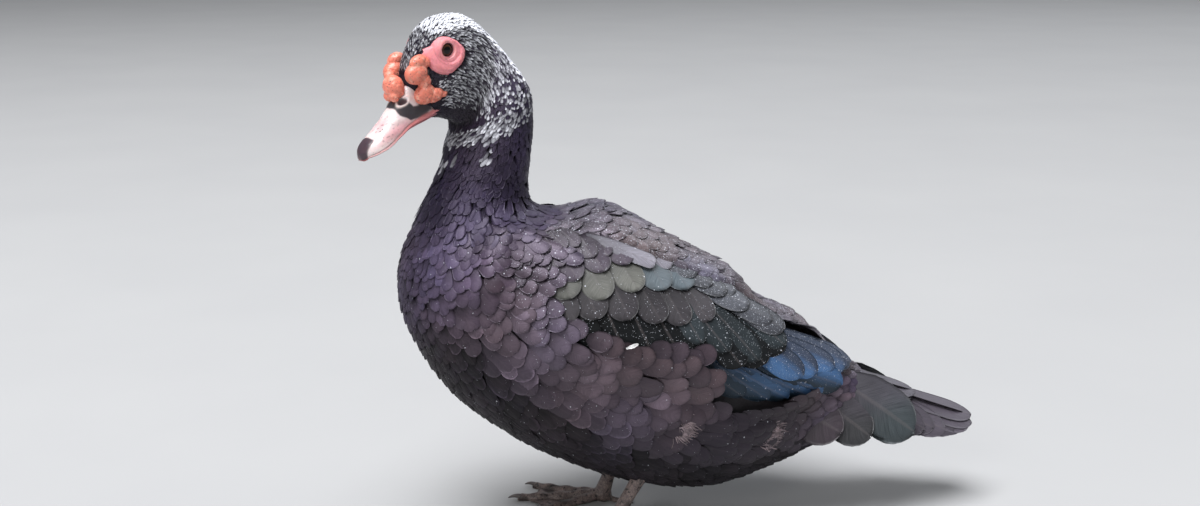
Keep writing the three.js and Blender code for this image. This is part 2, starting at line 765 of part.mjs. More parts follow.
const SHANK_RADII = [7.4, 6.4, 6, 6.2, 7.4];
const SHANK_BOTTOM = 9;
const RIGHT_ANKLE_SHIFT = -8; // the right leg's upper end, ahead of the left one's

function shank(side, grow = 0) {
  const [x, y] = FOOT_AT[side > 0 ? "left" : "right"];
  const shift = side > 0 ? 0 : RIGHT_ANKLE_SHIFT;
  const top = v3(side * ANKLE_AT[0], ANKLE_AT[1] + shift, ANKLE_AT[2]);
  const bottom = v3(x, y, SHANK_BOTTOM - grow);
  const points = SHANK_RADII.map((_, i) => top.clone().lerp(bottom, i / (SHANK_RADII.length - 1)));
  return tube(points, grown(SHANK_RADII, grow));
}

// Colours of the bird, by material
const MATERIALS = {
  plumage: new THREE.MeshStandardMaterial({ color: "#2a2530", roughness: 0.7 }),
  head_plumage: new THREE.MeshStandardMaterial({ color: "#8f9096", roughness: 0.8 }),
  wing_plumage: new THREE.MeshStandardMaterial({ color: "#2b3437", roughness: 0.5 }),
  caruncle: new THREE.MeshStandardMaterial({ color: "#e0664f", roughness: 0.6 }),
  face: new THREE.MeshStandardMaterial({ color: "#dd7678", roughness: 0.6 }),
  bill: new THREE.MeshStandardMaterial({ color: "#e8b9bf", roughness: 0.45 }),
  nail: new THREE.MeshStandardMaterial({ color: "#2e2630", roughness: 0.4 }),
  eye: new THREE.MeshStandardMaterial({ color: "#23120c", roughness: 0.1 }),
  leg: new THREE.MeshStandardMaterial({ color: "#77706b", roughness: 0.6 }),
};

const duck = new THREE.Group();

function node(name, body, material) {
  const { vertProperties, numProp, triVerts } = largest(body).getMesh();
  const positions = [];
  for (let i = 0; i < vertProperties.length; i += numProp)
    positions.push(...vertProperties.slice(i, i + 3));
  const mesh = new THREE.Mesh(geometryOf(positions, Array.from(triVerts)), MATERIALS[material]);
  mesh.name = name;
  duck.add(mesh);
}

function eyeBall(side, grow = 0) {
  const radius = EYE_RADIUS + grow;
  return headEgg(onSide(EYE_AT, side), [radius, radius, radius]);
}

node("torso", trunkSkin(0), "plumage");
node("neck", cut(neckSkin(0), [headCutter]), "plumage");
node("head", cut(headSkin(0), [eyeBall(1, GAP), eyeBall(-1, GAP)]), "head_plumage");
const bill = billNodes();
node("bill_upper", bill.bill_upper, "bill");
node("bill_lower", bill.bill_lower, "bill");
node("bill_nail", bill.bill_nail, "nail");
node("caruncle_knob", knob(), "caruncle");
for (const [name, side] of [["left", 1], ["right", -1]]) {
  node("caruncles_" + name, caruncles(side), "caruncle");
  node("face_patch_" + name, facePatch(side, eyeBall(side, GAP)), "face");
  node("eye_" + name, eyeBall(side), "eye");
  node("wing_" + name, wing(side), "wing_plumage");
  node("shank_" + name, cut(shank(side), [trunkCutter]), "leg");
  node("foot_" + name, foot(side), "leg");
}
node("tail", tail(), "plumage");

// The origin is on the floor, under the middle of the whole duck
const middle = new THREE.Box3().setFromObject(duck).getCenter(v3(0, 0, 0));
duck.position.set(-middle.x, -middle.y, 0);

export default duck;
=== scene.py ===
"""A life-size muscovy duck in feather, dressed around its solids. Sizes in the tables are millimetres."""
import math

import bpy
import numpy as np
from bpy.props import FloatProperty, FloatVectorProperty, PointerProperty
from mathutils import Matrix, Vector
from mathutils.bvhtree import BVHTree


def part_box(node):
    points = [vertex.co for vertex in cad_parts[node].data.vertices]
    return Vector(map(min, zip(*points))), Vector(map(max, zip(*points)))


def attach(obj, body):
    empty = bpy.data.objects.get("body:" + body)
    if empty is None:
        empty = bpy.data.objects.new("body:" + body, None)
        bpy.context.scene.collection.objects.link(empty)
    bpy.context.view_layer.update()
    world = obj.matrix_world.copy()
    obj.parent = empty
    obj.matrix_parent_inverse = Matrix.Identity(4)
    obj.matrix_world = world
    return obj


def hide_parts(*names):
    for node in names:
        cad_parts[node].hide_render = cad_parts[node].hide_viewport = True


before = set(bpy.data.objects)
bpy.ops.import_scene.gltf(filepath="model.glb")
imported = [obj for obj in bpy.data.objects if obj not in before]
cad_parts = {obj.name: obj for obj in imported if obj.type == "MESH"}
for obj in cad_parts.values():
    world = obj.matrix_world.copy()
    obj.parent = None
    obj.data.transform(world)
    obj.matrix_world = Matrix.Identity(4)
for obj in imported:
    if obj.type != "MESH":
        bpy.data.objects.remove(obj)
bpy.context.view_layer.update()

bl_info = {
    "name": "Muscovy duck",
    "version": (1, 0, 0),
    "blender": (4, 5, 0),
    "location": "3D View > Sidebar > Duck",
    "description": "Builds the skin, feathers, face, bill and feet of a standing muscovy duck",
    "category": "Object",
}

MM = 0.001
LEFT, RIGHT = 1, -1
SIDES = {LEFT: "left", RIGHT: "right"}

# The head's own frame: ahead along the mouth line, left, and up
HEAD_TURN = math.radians(34)
HEAD_DROP = math.radians(24)
GAPE_AT = np.array([22.0, -155.4, 381.9])
HEAD_AHEAD = np.array(
    [
        math.sin(HEAD_TURN) * math.cos(HEAD_DROP),
        -math.cos(HEAD_TURN) * math.cos(HEAD_DROP),
        -math.sin(HEAD_DROP),
    ]
)
HEAD_LEFT = np.array([math.cos(HEAD_TURN), math.sin(HEAD_TURN), 0.0])
HEAD_UP = np.array(
    [
        math.sin(HEAD_TURN) * math.sin(HEAD_DROP),
        -math.cos(HEAD_TURN) * math.sin(HEAD_DROP),
        math.cos(HEAD_DROP),
    ]
)
EYE_AT = np.array([-25.0, 16.5, 44.0])
EYE_RADIUS = 7.4


def in_head(ahead, left, up):
    """The point, or points, at a place given in the head's frame."""
    parts = [np.asarray(part, float)[..., None] for part in (ahead, left, up)]
    return GAPE_AT + parts[0] * HEAD_AHEAD + parts[1] * HEAD_LEFT + parts[2] * HEAD_UP


def crossed(rows, columns):
    """Two lists of values as grids, the first by row and the second by column."""
    return np.meshgrid(rows, columns, indexing="ij")


def point_list(x, y, z):
    """Grids of three coordinates as one list of points."""
    return np.stack([x, y, z], axis=-1).reshape(-1, 3)


def head_place(points):
    """Points as ahead, left and up in the head's frame."""
    away = points - GAPE_AT
    return np.stack([away @ HEAD_AHEAD, away @ HEAD_LEFT, away @ HEAD_UP], axis=-1)


def frame_shift():
    """What takes a point of the bird's own millimetres to the frame, found from the left eye."""
    low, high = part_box("eye_left")
    eye = np.array((low + high) / 2)
    return eye - in_head(*EYE_AT) * MM


SHIFT = frame_shift()

# Cross-sections from the bill's root to the tail's: back point, front point and half width, and for the
# body its turn to the left in degrees and its shift to the left
HEAD_SECTIONS = [
    ((13, 32), (3, -6), 13.5),
    ((6, 43), (-4, -9), 17),
    ((-7, 54), (-9, -12.5), 20.5),
    ((-26, 63), (-14, -16.5), 24),
    ((-50, 60), (-18, -20.5), 27),
    ((-72, 41), (-23, -25.5), 29),
]
BODY_SECTIONS = [
    ((-75, 404), (-133, 359), 31, 22, 2),
    ((-67, 372), (-139, 348), 32, 13, 0),
    ((-68, 340), (-144, 331), 34, 5, 0),
    ((-70, 315), (-155, 308), 38, 0, 0),
    ((-68, 300), (-168, 280), 47, 0, 0),
    ((-57, 292), (-181, 246), 60, 0, 0),
    ((-40, 289), (-181, 209), 73, 0, 0),
    ((-20, 287), (-164, 168), 82, 0, 0),
    ((4, 280), (-138, 131), 88, 0, 0),
    ((32, 266), (-102, 100), 91, 0, 0),
    ((62, 249), (-61, 74), 92, 0, 0),
    ((92, 231), (-13, 53), 91, 0, 0),
    ((120, 214), (37, 38), 87, 0, 0),
    ((146, 197), (83, 33), 78, 0, 0),
    ((170, 180), (122, 40), 65, 0, 0),
    ((193, 163), (157, 50), 50, 0, 0),
    ((214, 146), (189, 64), 35, 0, 0),
    ((236, 130), (222, 80), 22, 0, 0),
]
ROUNDNESS = 2.15
LAST_STATION = len(HEAD_SECTIONS) + len(BODY_SECTIONS) - 1
SKIN_DEPTH = [(0, 0.8), (3, 1.0), (5.5, 1.6), (8, 2.4), (11, 3.5), (20, 3.5), (23, 2.0)]


def section_tables():
    """Back points, front points, left directions and half widths of all sections."""
    rows = []
    for back, front, half in HEAD_SECTIONS:
        rows.append((in_head(back[0], 0, back[1]), in_head(front[0], 0, front[1]), HEAD_LEFT, [half]))
    for back, front, half, turn, aside in BODY_SECTIONS:
        left = (math.cos(math.radians(turn)), math.sin(math.radians(turn)), 0)
        rows.append(((aside, *back), (aside, *front), left, [half]))
    return [np.array(column, float) for column in zip(*rows)]


BACK, FRONT, LEFTWARD, HALF = section_tables()


def through(knots, x):
    """Values at x of a smooth curve through (x, y) knots, without overshoot."""
    at, value = np.array(knots, float).T
    width = np.diff(at)
    slope = np.diff(value) / width
    before, after = slope[:-1], slope[1:]
    same_way = before * after > 0
    both = np.where(same_way, before + after, 1)
    tangent = np.concatenate([[0], np.where(same_way, 2 * before * after / both, 0), [0]])
    x = np.clip(x, at[0], at[-1])
    i = np.clip(np.searchsorted(at, x, side="right") - 1, 0, len(at) - 2)
    t = (x - at[i]) / width[i]
    a, b = tangent[i] * width[i], tangent[i + 1] * width[i]
    rise = value[i + 1] - value[i]
    return value[i] + t * a + t**2 * (3 * rise - 2 * a - b) + t**3 * (a + b - 2 * rise)


def ramp(x, low, high):
    """0 below low and 1 above high, with a soft step between them."""
    share = np.clip((np.asarray(x, float) - low) / (high - low), 0, 1)
    return share * share * (3 - 2 * share)


def between(x, low, high, fall, end):
    """1 from high to fall, with soft steps down to 0 at low and at end."""
    return ramp(x, low, high) * (1 - ramp(x, fall, end))


def bell(x, middle, half):
    """1 at the middle of a soft bump, and near 0 two half widths away."""
    return np.exp(-(((x - middle) / half) ** 2))


def from_back(angle):
    """How far round from the back an angle lies, to either side."""
    return np.abs((angle + math.pi) % (2 * math.pi) - math.pi)


def section_at(t):
    """The section at each station t, by a Catmull-Rom blend."""
    t = np.clip(np.asarray(t, float), 0, LAST_STATION)
    i = np.clip(np.floor(t).astype(int), 0, LAST_STATION - 1)
    s = (t - i)[..., None]
    weights = (
        -0.5 * s * (1 - s) ** 2,
        1 + s * s * (1.5 * s - 2.5),
        0.5 * s * (1 + s * (4 - 3 * s)),
        -0.5 * s * s * (1 - s),
    )
    picks = [np.clip(i + k, 0, LAST_STATION) for k in (-1, 0, 1, 2)]
    mixed = [sum(w * table[p] for w, p in zip(weights, picks)) for table in (BACK, FRONT, LEFTWARD, HALF)]
    mixed[2] = mixed[2] / np.linalg.norm(mixed[2], axis=-1, keepdims=True)
    return mixed


def power(value, exponent):
    """A power that keeps the value's sign."""
    return np.sign(value) * np.abs(value) ** exponent


def bare_point(t, angle):
    """A point of the body's outline surface: angle 0 is the back and a quarter turn is the left side."""
    back, front, left, half = section_at(t)
    angle = np.asarray(angle, float)[..., None]
    middle = (back + front) / 2
    spoke = (back - front) / 2
    forth, aside = (power(turned, 2 / ROUNDNESS) for turned in (np.cos(angle), np.sin(angle)))
    return middle + spoke * forth + left * half * aside


def body_point(t, angle, lift=0.0):
    """A point that lies lift above the outline surface, and the surface's normal there."""
    step = 0.02
    along = bare_point(t + step, angle) - bare_point(np.maximum(np.asarray(t) - step, 0), angle)
    around = bare_point(t, angle + step) - bare_point(t, angle - step)
    normal = -np.cross(along, around)
    normal /= np.linalg.norm(normal, axis=-1, keepdims=True) + 1e-9
    return bare_point(t, angle) + normal * np.asarray(lift, float)[..., None], normal


def body_metric(t, angle):
    """Millimetres for each unit of t and of angle."""
    step = 0.05
    along = np.linalg.norm(bare_point(t + step, angle) - bare_point(t - step, angle), axis=-1) / (2 * step)
    around = np.linalg.norm(bare_point(t, angle + step) - bare_point(t, angle - step), axis=-1) / (2 * step)
    return np.maximum(along, 1.0), np.maximum(around, 1.0)


# The envelope that the folded wings lie on
WING_FROM = np.array([-67.0, 212.0])
WING_SLOPE = math.radians(18.3)
ENVELOPE_HALF = [
    (-40, 74), (-20, 82), (22, 95), (60, 101), (120, 101), (180, 90), (240, 67), (290, 40), (330, 20),
]
ENVELOPE_TOP = [
    (-40, 84), (22, 90), (75, 81), (123, 71.5), (194, 60), (263, 41), (316, 18), (340, 10),
]


def wing_surface(along, around, side):
    """Points of the envelope that the folded wings lie on."""
    half = through(ENVELOPE_HALF, along)
    top = through(ENVELOPE_TOP, along)
    angle = around / ((half + top) / 2)
    rise = top * np.sin(angle)
    x = side * half * np.cos(angle)
    y = WING_FROM[0] + along * math.cos(WING_SLOPE) + rise * math.sin(WING_SLOPE)
    z = WING_FROM[1] - along * math.sin(WING_SLOPE) + rise * math.cos(WING_SLOPE)
    return np.stack([x, y, z], axis=-1)


def wing_point(along, around, side, lift):
    """A point that lies lift above the wing's envelope, and the envelope's normal there."""
    a = wing_surface(along + 1, around, side) - wing_surface(along - 1, around, side)
    b = wing_surface(along, around + 1, side) - wing_surface(along, around - 1, side)
    normal = np.cross(a, b) * side
    normal /= np.linalg.norm(normal, axis=-1, keepdims=True)
    return wing_surface(along, around, side) + normal * np.asarray(lift, float)[..., None], normal


def wing_place(points):
    """Points as millimetres along the folded wing and round it from its side upwards."""
    y, z = points[..., 1] - WING_FROM[0], points[..., 2] - WING_FROM[1]
    along = y * math.cos(WING_SLOPE) - z * math.sin(WING_SLOPE)
    up = y * math.sin(WING_SLOPE) + z * math.cos(WING_SLOPE)
    half, top = through(ENVELOPE_HALF, along), through(ENVELOPE_TOP, along)
    angle = np.arctan2(up / top, np.abs(points[..., 0]) / half)
    return along, angle * (half + top) / 2


def in_frame(points):
    """The bird's own millimetres as metres in the frame."""
    return points * MM + SHIFT


# Meshes


def new_object(name, points, faces, material):
    """A smooth mesh object that rides on the body, from points in millimetres and faces as index lists."""
    mesh = bpy.data.meshes.new(name)
    counts = np.array([len(face) for face in faces])
    corners = np.concatenate(faces)
    mesh.vertices.add(len(points))
    mesh.vertices.foreach_set("co", in_frame(points).astype(np.float32).ravel())
    mesh.loops.add(len(corners))
    mesh.polygons.add(len(counts))
    mesh.polygons.foreach_set("loop_start", np.concatenate([[0], np.cumsum(counts)[:-1]]).astype(np.int32))
    mesh.polygons.foreach_set("vertices", corners.astype(np.int32))
    mesh.polygons.foreach_set("use_smooth", np.full(len(counts), True))
    mesh.update(calc_edges=True)
    obj = bpy.data.objects.new(name, mesh)
    bpy.context.scene.collection.objects.link(obj)
    mesh.materials.append(material)
    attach(obj, "root")
    return obj


def add_map(mesh, name, places):
    """A UV map from one place for each vertex."""
    corner = np.empty(len(mesh.loops), np.int32)
    mesh.loops.foreach_get("vertex_index", corner)
    layer = mesh.uv_layers.new(name=name)
    layer.data.foreach_set("uv", places[corner].astype(np.float32).ravel())


def add_tint(mesh, tint):
    """A colour for each vertex. Its fourth value is free for a mask, and 1 where none is given."""
    if tint.shape[1] == 3:
        tint = np.concatenate([tint, np.ones((len(tint), 1))], axis=-1)
    attribute = mesh.attributes.new("Tint", "FLOAT_COLOR", "POINT")
    attribute.data.foreach_set("color", tint.astype(np.float32).ravel())


def grid_faces(rows, columns, wrap=False):
    """Quads of a grid of points, rows counted first."""
    r, c = crossed(np.arange(rows - 1), np.arange(columns if wrap else columns - 1))
    nxt = (c + 1) % columns
    quads = [r * columns + c, r * columns + nxt, (r + 1) * columns + nxt, (r + 1) * columns + c]
    return np.stack(quads, axis=-1).reshape(-1, 4)


def rim_faces(rows, columns):
    """Quads that close the rim between an upper grid and the lower one that follows it."""
    edge = list(range(columns))
    edge += [r * columns + columns - 1 for r in range(1, rows)]
    edge += [(rows - 1) * columns + c for c in range(columns - 2, -1, -1)]
    edge += [r * columns for r in range(rows - 2, 0, -1)]
    here = np.array(edge)
    after = np.roll(here, -1)
    under = rows * columns
    return np.stack([here, here + under, after + under, after], axis=-1)


def slab_faces(rows, columns):
    """Quads of an upper grid of points, of the lower one that follows it, and of the rim between them."""
    top = grid_faces(rows, columns)
    return np.concatenate([top, top[:, ::-1] + rows * columns, rim_faces(rows, columns)[:, ::-1]])


def tube_faces(rows, columns):
    """Faces of a closed tube of rings of points, with a cap on both ends."""
    ring = np.arange(columns)
    return [*grid_faces(rows, columns, wrap=True), ring[::-1], ring + (rows - 1) * columns]


# How a feather is drawn: rows up to its rounded tip by the share of that length, rows round the tip in
# degrees, and columns across it; and its outline as widths up to the tip and how long the tip is
GRIDS = {
    "speck": {"stem": [0, 1], "tip": [80], "columns": [-1, 0, 1]},
    "tiny": {"stem": [0, 0.6, 1], "tip": [50, 84], "columns": [-1, -0.55, 0, 0.55, 1]},
    "plain": {
        "stem": [0, 0.5, 1], "tip": [28, 52, 72, 87],
        "columns": [-1, -0.84, -0.45, 0, 0.45, 0.84, 1],
    },
    "fine": {
        "stem": [0, 0.25, 0.5, 0.78, 1], "tip": [20, 38, 54, 68, 80, 88],
        "columns": [-1, -0.86, -0.45, -0.06, 0, 0.06, 0.45, 0.86, 1],
    },
}
OUTLINES = {
    "round": {"stem": [(0, 0.35), (0.4, 0.85), (0.75, 1), (1, 1)], "tip": 1.0},
    "long": {"stem": [(0, 0.3), (0.25, 0.66), (0.6, 0.93), (1, 1)], "tip": 1.7},
    "lance": {"stem": [(0, 0.35), (0.5, 0.9), (1, 1)], "tip": 2.0},
}
# How closely the ragged edge keeps to the tip
TIP_POWER = 6


# What holds for a feather where its own sizes don't say it
USUAL_VANE = {"rise": 0.8, "curl": 0, "cup": 0.1, "tilt": 0, "shaft": 0.3, "thick": 0.5, "dome": 0}


def outline_rows(grid, outline, half, length):
    """Shares of the length, half widths and closeness to the tip's rim for the rows of each feather."""
    tip = np.clip(OUTLINES[outline]["tip"] * half / length, 0.1, 0.75)
    stem = np.array(grid["stem"])[None, :, None]
    bend = np.radians(grid["tip"])[None, :, None]
    along = np.concatenate([stem * (1 - tip), 1 - tip + tip * np.sin(bend)], axis=1)
    wide = np.concatenate([through(OUTLINES[outline]["stem"], stem), np.cos(bend)], axis=1)
    ahead = np.concatenate([0 * stem, np.sin(bend)], axis=1)
    return along, wide, ahead


def vanes(place, spec, grid_name, outline):
    """Closed, thin feathers. place(reach, aside, lift) gives points and normals for arrays of feathers,
    rows and columns, and spec has one value for all feathers or one for each."""
    grid = GRIDS[grid_name]
    across = np.array(grid["columns"])[None, None, :]
    count = len(spec["length"])
    one = {}
    for key, value in (USUAL_VANE | spec).items():
        one[key] = np.broadcast_to(np.asarray(value, float), count)[:, None, None]
    half = one["width"] / 2
    along, wide, ahead = outline_rows(grid, outline, half, one["length"])
    notch = one["ragged"] * np.sin(9 * across + 7 * one["bend"] * one["width"]) * along**TIP_POWER
    reach = one["length"] * along + notch
    aside = half * wide * across + one["bend"] * one["length"] * along**2
    level = one["root"] + (one["tip"] - one["root"]) * along**one["rise"] * (1 - one["curl"] * along**3)
    cup = one["cup"] * half * (wide * across) ** 2 * np.sqrt(along)
    swell = one["dome"] * (1 - across**2) * bell(along, 0.84, 0.16)
    shaft = one["shaft"] * bell(across, 0, 0.05) * (1 - 0.6 * along)
    lift = level - cup + swell + shaft + one["tilt"] * across * np.minimum(1, 2 * along)
    upper, normal = place(reach, aside, lift)
    thick = one["thick"] * (1 - 0.55 * along) + 0 * across
    lower = upper - normal * (thick + shaft)[..., None]
    rows, columns = upper.shape[1:3]
    points = np.stack([upper, lower], axis=1).reshape(len(upper), 2 * rows * columns, 3)
    rim = np.where(ahead > 0, np.hypot(ahead, wide * across), np.abs(across))
    return {
        "points": points, "normal": normal, "rows": rows, "columns": columns,
        "along": along, "across": across, "rim": rim,
    }


def vane_faces(made):
    """Faces of all feathers, upper sides turned outwards, and which of them are rim."""
    rows, columns = made["rows"], made["columns"]
    one = slab_faces(rows, columns)
    first = made["points"][:, : rows * columns].reshape(-1, rows, columns, 3)
    turned = np.cross(first[:, 1, 1] - first[:, 1, 0], first[:, 2, 0] - first[:, 1, 0])
    facing = np.einsum("ij,ij->i", turned, made["normal"][:, 1, 0]).sum()
    if facing < 0:
        one = one[:, ::-1]
    start = (np.arange(len(made["points"])) * 2 * rows * columns)[:, None, None]
    is_rim = np.arange(len(one)) >= 2 * (rows - 1) * (columns - 1)
    return (one[None] + start).reshape(-1, 4), np.tile(is_rim, len(made["points"]))


# How wide each feather is on the skin's unwrap
PATCH_SIZE = 0.003


def feather_object(name, made, tint, places, material, wet=0.0):
    """One piece of many feathers, with its maps and colours. tint has a colour for each feather and
    place on it, and places are the feathers' roots on the unwrap."""
    count, size = made["points"].shape[:2]
    faces, is_rim = vane_faces(made)
    obj = new_object(name, made["points"].reshape(-1, 3), faces, material)
    mesh = obj.data
    mesh.polygons.foreach_set("use_smooth", ~is_rim)
    own = np.stack(np.broadcast_arrays(made["across"] / 2 + 0.5, made["along"]), axis=-1)
    own = np.tile(own.reshape(count, -1, 2), (1, 2, 1))
    add_map(mesh, "Vane", own.reshape(-1, 2))
    patch = places[:, None] + (own - 0.5) * PATCH_SIZE
    add_map(mesh, "OFBake", patch.reshape(-1, 2))
    add_tint(mesh, np.tile(tint, (1, 2, 1)).reshape(-1, 4))
    drops = mesh.attributes.new("Wet", "FLOAT", "POINT")
    drops.data.foreach_set("value", np.repeat(np.broadcast_to(wet, count), size).astype(np.float32))
    return obj


def body_place(t, angle, turn, hold=None):
    """The place function of feathers rooted in the body's surface. hold adds a lift to points."""
    along, around = body_metric(t, angle)
    t, angle, turn, along, around = (a[:, None, None] for a in (t, angle, turn, along, around))

    def place(reach, aside, lift):
        down = (reach * np.cos(turn) - aside * np.sin(turn)) / along
        out = (reach * np.sin(turn) + aside * np.cos(turn)) / around
        stations = np.clip(t + down, 0.02, LAST_STATION - 0.02)
        angles = angle + out
        if hold is not None:
            lift = lift + hold(stations, angles)
        return body_point(stations, angles, lift)

    return place


# Where feathers are rooted, and what each place's feathers are like
SPACING = [
    (0, 1.3), (2, 1.5), (4, 1.8), (5.5, 2.3), (6.8, 3.0), (8, 4.2), (10, 6.2), (12, 8.8), (14, 10.8),
    (18, 11.2), (20.5, 10), (23, 7.6),
]
RING = np.linspace(-math.pi, math.pi, 181)
# The step between rows and the least distance of roots, as shares of the spacing, and how many of the
# latest roots are compared
ROW_STEP = 0.86
LEAST_GAP = 0.76
RECENT_ROOTS = 1500


def spacing(t, angle):
    """Millimetres between neighbouring feathers' roots."""
    around = from_back(angle)
    side = bell(around, 1.7, 0.6)
    belly = ramp(around, 1.95, 2.6)
    flank = between(t, 12.5, 15, 18, 20)
    wider = ramp(t, 9, 12) * (0.04 * side - 0.25 * belly) + 0.14 * flank * side
    return through(SPACING, t) * (1 + wider)


def scatter(low, high, rng):
    """Stations and angles of roots in staggered rows, thinned where rows draw together."""
    stations, angles, spots = [], [], np.empty((0, 3))
    t, row = low, 0
    while t < high:
        level = np.full(len(RING), t)
        gap = spacing(level, RING)
        along, around = body_metric(level, RING)
        share = around / gap
        crowd = np.concatenate([[0], np.cumsum((share[1:] + share[:-1]) / 2 * np.diff(RING))])
        count = int(round(crowd[-1]))
        at = (np.arange(count) + 0.5 * (row % 2) + rng.uniform(-0.14, 0.14, count)) % count
        angle = np.interp(at * crowd[-1] / count, crowd, RING)
        station = t + rng.uniform(-0.12, 0.12, count) * np.interp(angle, RING, gap / along)
        point = bare_point(station, angle)
        keep = np.full(count, True)
        if len(spots):
            recent = spots[-RECENT_ROOTS:]
            nearest = np.linalg.norm(point[:, None] - recent[None], axis=-1).min(axis=1)
            keep = nearest > LEAST_GAP * spacing(station, angle)
        stations.append(station[keep])
        angles.append(angle[keep])
        spots = np.concatenate([spots, point[keep]])
        t += ROW_STEP * (gap / along).min()
        row += 1
    return np.concatenate(stations), np.concatenate(angles)


# The bare patch round the left eye: its edge's distance from the eye by degrees from straight ahead
PATCH_EDGE = [
    (-180, 13.2), (-165, 15.4), (-150, 16.8), (-124, 17.0), (-96, 17.6), (-67, 20.4), (-46, 20.8),
    (-24, 20.4), (-6, 19.5), (15, 19.5), (43, 12.0), (84, 10.6), (115, 10.4), (139, 10.6), (160, 11.8),
    (180, 13.2),
]

# Bare lumps as eggs in the head's frame, for the left side: centre and radii
SIDE_LUMPS = [
    {"at": (1, 15, 46), "radii": (8.2, 5.4, 5.6)},
    {"at": (-4.5, 17, 43), "radii": (4, 3.4, 4)},
    {"at": (6.5, 14.5, 38.5), "radii": (10.4, 7.6, 8.6)},
    {"at": (3, 16, 30), "radii": (6.2, 4.8, 6.4)},
    {"at": (6, 14.8, 19.5), "radii": (10.2, 6.6, 8.2)},
    {"at": (-1, 17, 15), "radii": (8.4, 5.2, 5.8)},
    {"at": (-8.5, 18.2, 12.5), "radii": (3.6, 3, 3)},
]
KNOB_LUMPS = [
    {"at": (22, 0, 33), "radii": (8.6, 8.8, 10.5)},
    {"at": (27, 3.5, 27.5), "radii": (4.2, 4.4, 4.6)},
    {"at": (27, -3.5, 27.5), "radii": (4.2, 4.4, 4.6)},
    {"at": (17, -7.5, 39.5), "radii": (5, 4.4, 4.6)},
]


def egg_value(place, egg, mirrored=True):
    """Below 1 inside an egg, for places in the head's frame."""
    side = np.abs(place[..., 1]) if mirrored else place[..., 1]
    at, radii = egg["at"], egg["radii"]
    return (
        ((place[..., 0] - at[0]) / radii[0]) ** 2
        + ((side - at[1]) / radii[1]) ** 2
        + ((place[..., 2] - at[2]) / radii[2]) ** 2
    )


def patch_reach(place):
    """How far places of the head lie from the eye, as a share of the way to the bare patch's edge."""
    ahead, up = place[..., 0] - EYE_AT[0], place[..., 2] - EYE_AT[2]
    edge = through(PATCH_EDGE, np.degrees(np.arctan2(up, ahead)))
    return np.hypot(ahead, up) / edge + (np.abs(place[..., 1]) < 8)


def is_bare(place):
    """Whether a place of the head grows no feathers."""
    bare = patch_reach(place) < 0.97
    for lump in SIDE_LUMPS:
        bare |= egg_value(place, lump) < 1.05
    for lump in KNOB_LUMPS:
        bare |= egg_value(place, lump, mirrored=False) < 1.05
    return bare


# White blotches at the neck's top: station, angle from the back, and their half sizes
BLOTCHES = [(7.75, 1.78, 0.16, 0.16), (7.8, 2.62, 0.14, 0.14), (8.05, 3.0, 0.12, 0.14)]


def head_white(t, angle, place):
    """How likely a head or neck feather is to be white at its tip, and whether it is wholly white."""
    around = from_back(angle)
    crown = np.exp(-((around / 0.8) ** 4)) * between(t, 2.5, 3.1, 5.7, 6.5)
    forehead = (1 - ramp(around, 0.9, 1.4)) * between(t, 0.6, 1.2, 3.0, 3.6)
    cheek = between(around, 0.4, 0.7, 2.05, 2.4) * between(t, 1.2, 2.2, 5.4, 6.0)
    nape = between(t, 4.8, 5.3, 6.4, 7.4) * (1 - ramp(around, 1.4, 1.8))
    ring = between(t, 5.75, 6.2, 6.95, 7.3) * ramp(around, 0.95, 1.35)
    edge = ramp(patch_reach(place), 1.0, 1.15)
    chance = np.maximum(0.98 * crown, np.maximum(0.8 * cheek, 0.8 * forehead)) * edge
    chance = np.maximum(chance, np.maximum(0.6 * nape, 0.9 * ring))
    for station, turn, long, wide in BLOTCHES:
        chance = np.maximum(chance, 0.95 * bell(t, station, long) * bell(around, turn, wide))
    return chance, ramp(crown * edge, 0.5, 0.8) > 0.5


# Lighter and darker parts of the body: station, angle from the back, half sizes, and how much lighter
TONE_SPOTS = [
    (13.5, 1.6, 1.5, 0.3, 0.75), (16.5, 1.42, 0.9, 0.22, 0.8), (15.6, 1.25, 1.6, 0.14, -0.5),
    (21.2, 1.4, 1.2, 0.5, 1.2), (15.6, 1.6, 0.7, 0.2, 0.2), (10.6, 2.2, 1.2, 0.5, 0.45),
    (18.3, 1.72, 1.1, 0.3, -0.5), (12.0, 1.2, 0.9, 0.3, -0.75),
]


def even(colour, points):
    """One colour for each point."""
    return np.tile(np.array(colour), (len(points), 1))


def towards(tone, colour, share):
    """Tones moved by a share of the way to a colour."""
    return tone + (np.array(colour) - tone) * np.clip(share, 0, 1)[..., None]


def body_tone(t, angle, colours):
    """Linear colour of the body's feathers by place, with soft clouds of a darker and a bluer tone."""
    around = from_back(angle)
    tone = even(colours.neck, t)
    shares = [
        ("breast", ramp(t, 8.5, 10.5)),
        ("flank", ramp(t, 11.2, 13) * between(around, 0.9, 1.5, 2.3, 2.8)),
        ("mantle", ramp(t, 10.4, 11.4) * (1 - ramp(around, 0.7, 1.1))),
        # belly: the underside's near-black colour, partly the feathers' own and partly painted shade of the
        # underside
        ("belly", between(t, 17.2, 18.2, 19.6, 20.6) * ramp(around, 1.2, 1.6)),
        ("belly", between(t, 16.4, 17.4, 19.6, 20.6) * ramp(around, 1.5, 1.8)),
        ("belly", ramp(around, 1.75, 2.25) * ramp(t, 11.5, 13)),
    ]
    for name, share in shares:
        tone = towards(tone, getattr(colours, name), share)
    at = bare_point(t, angle)
    fine = 0.18 - 0.1 * ramp(t, 10, 12)
    depth = (0.24 * waves(at, 34, 61) + fine * waves(at, 12, 62)) * ramp(t, 5.5, 8)
    for station, turn, long, wide, more in TONE_SPOTS:
        depth += more * bell(t, station, long) * bell(around, turn, wide)
    shift = waves(at, 80, 63)[:, None] * np.array([-0.05, 0.0, 0.08])
    return tone * np.exp(depth[:, None] + shift)


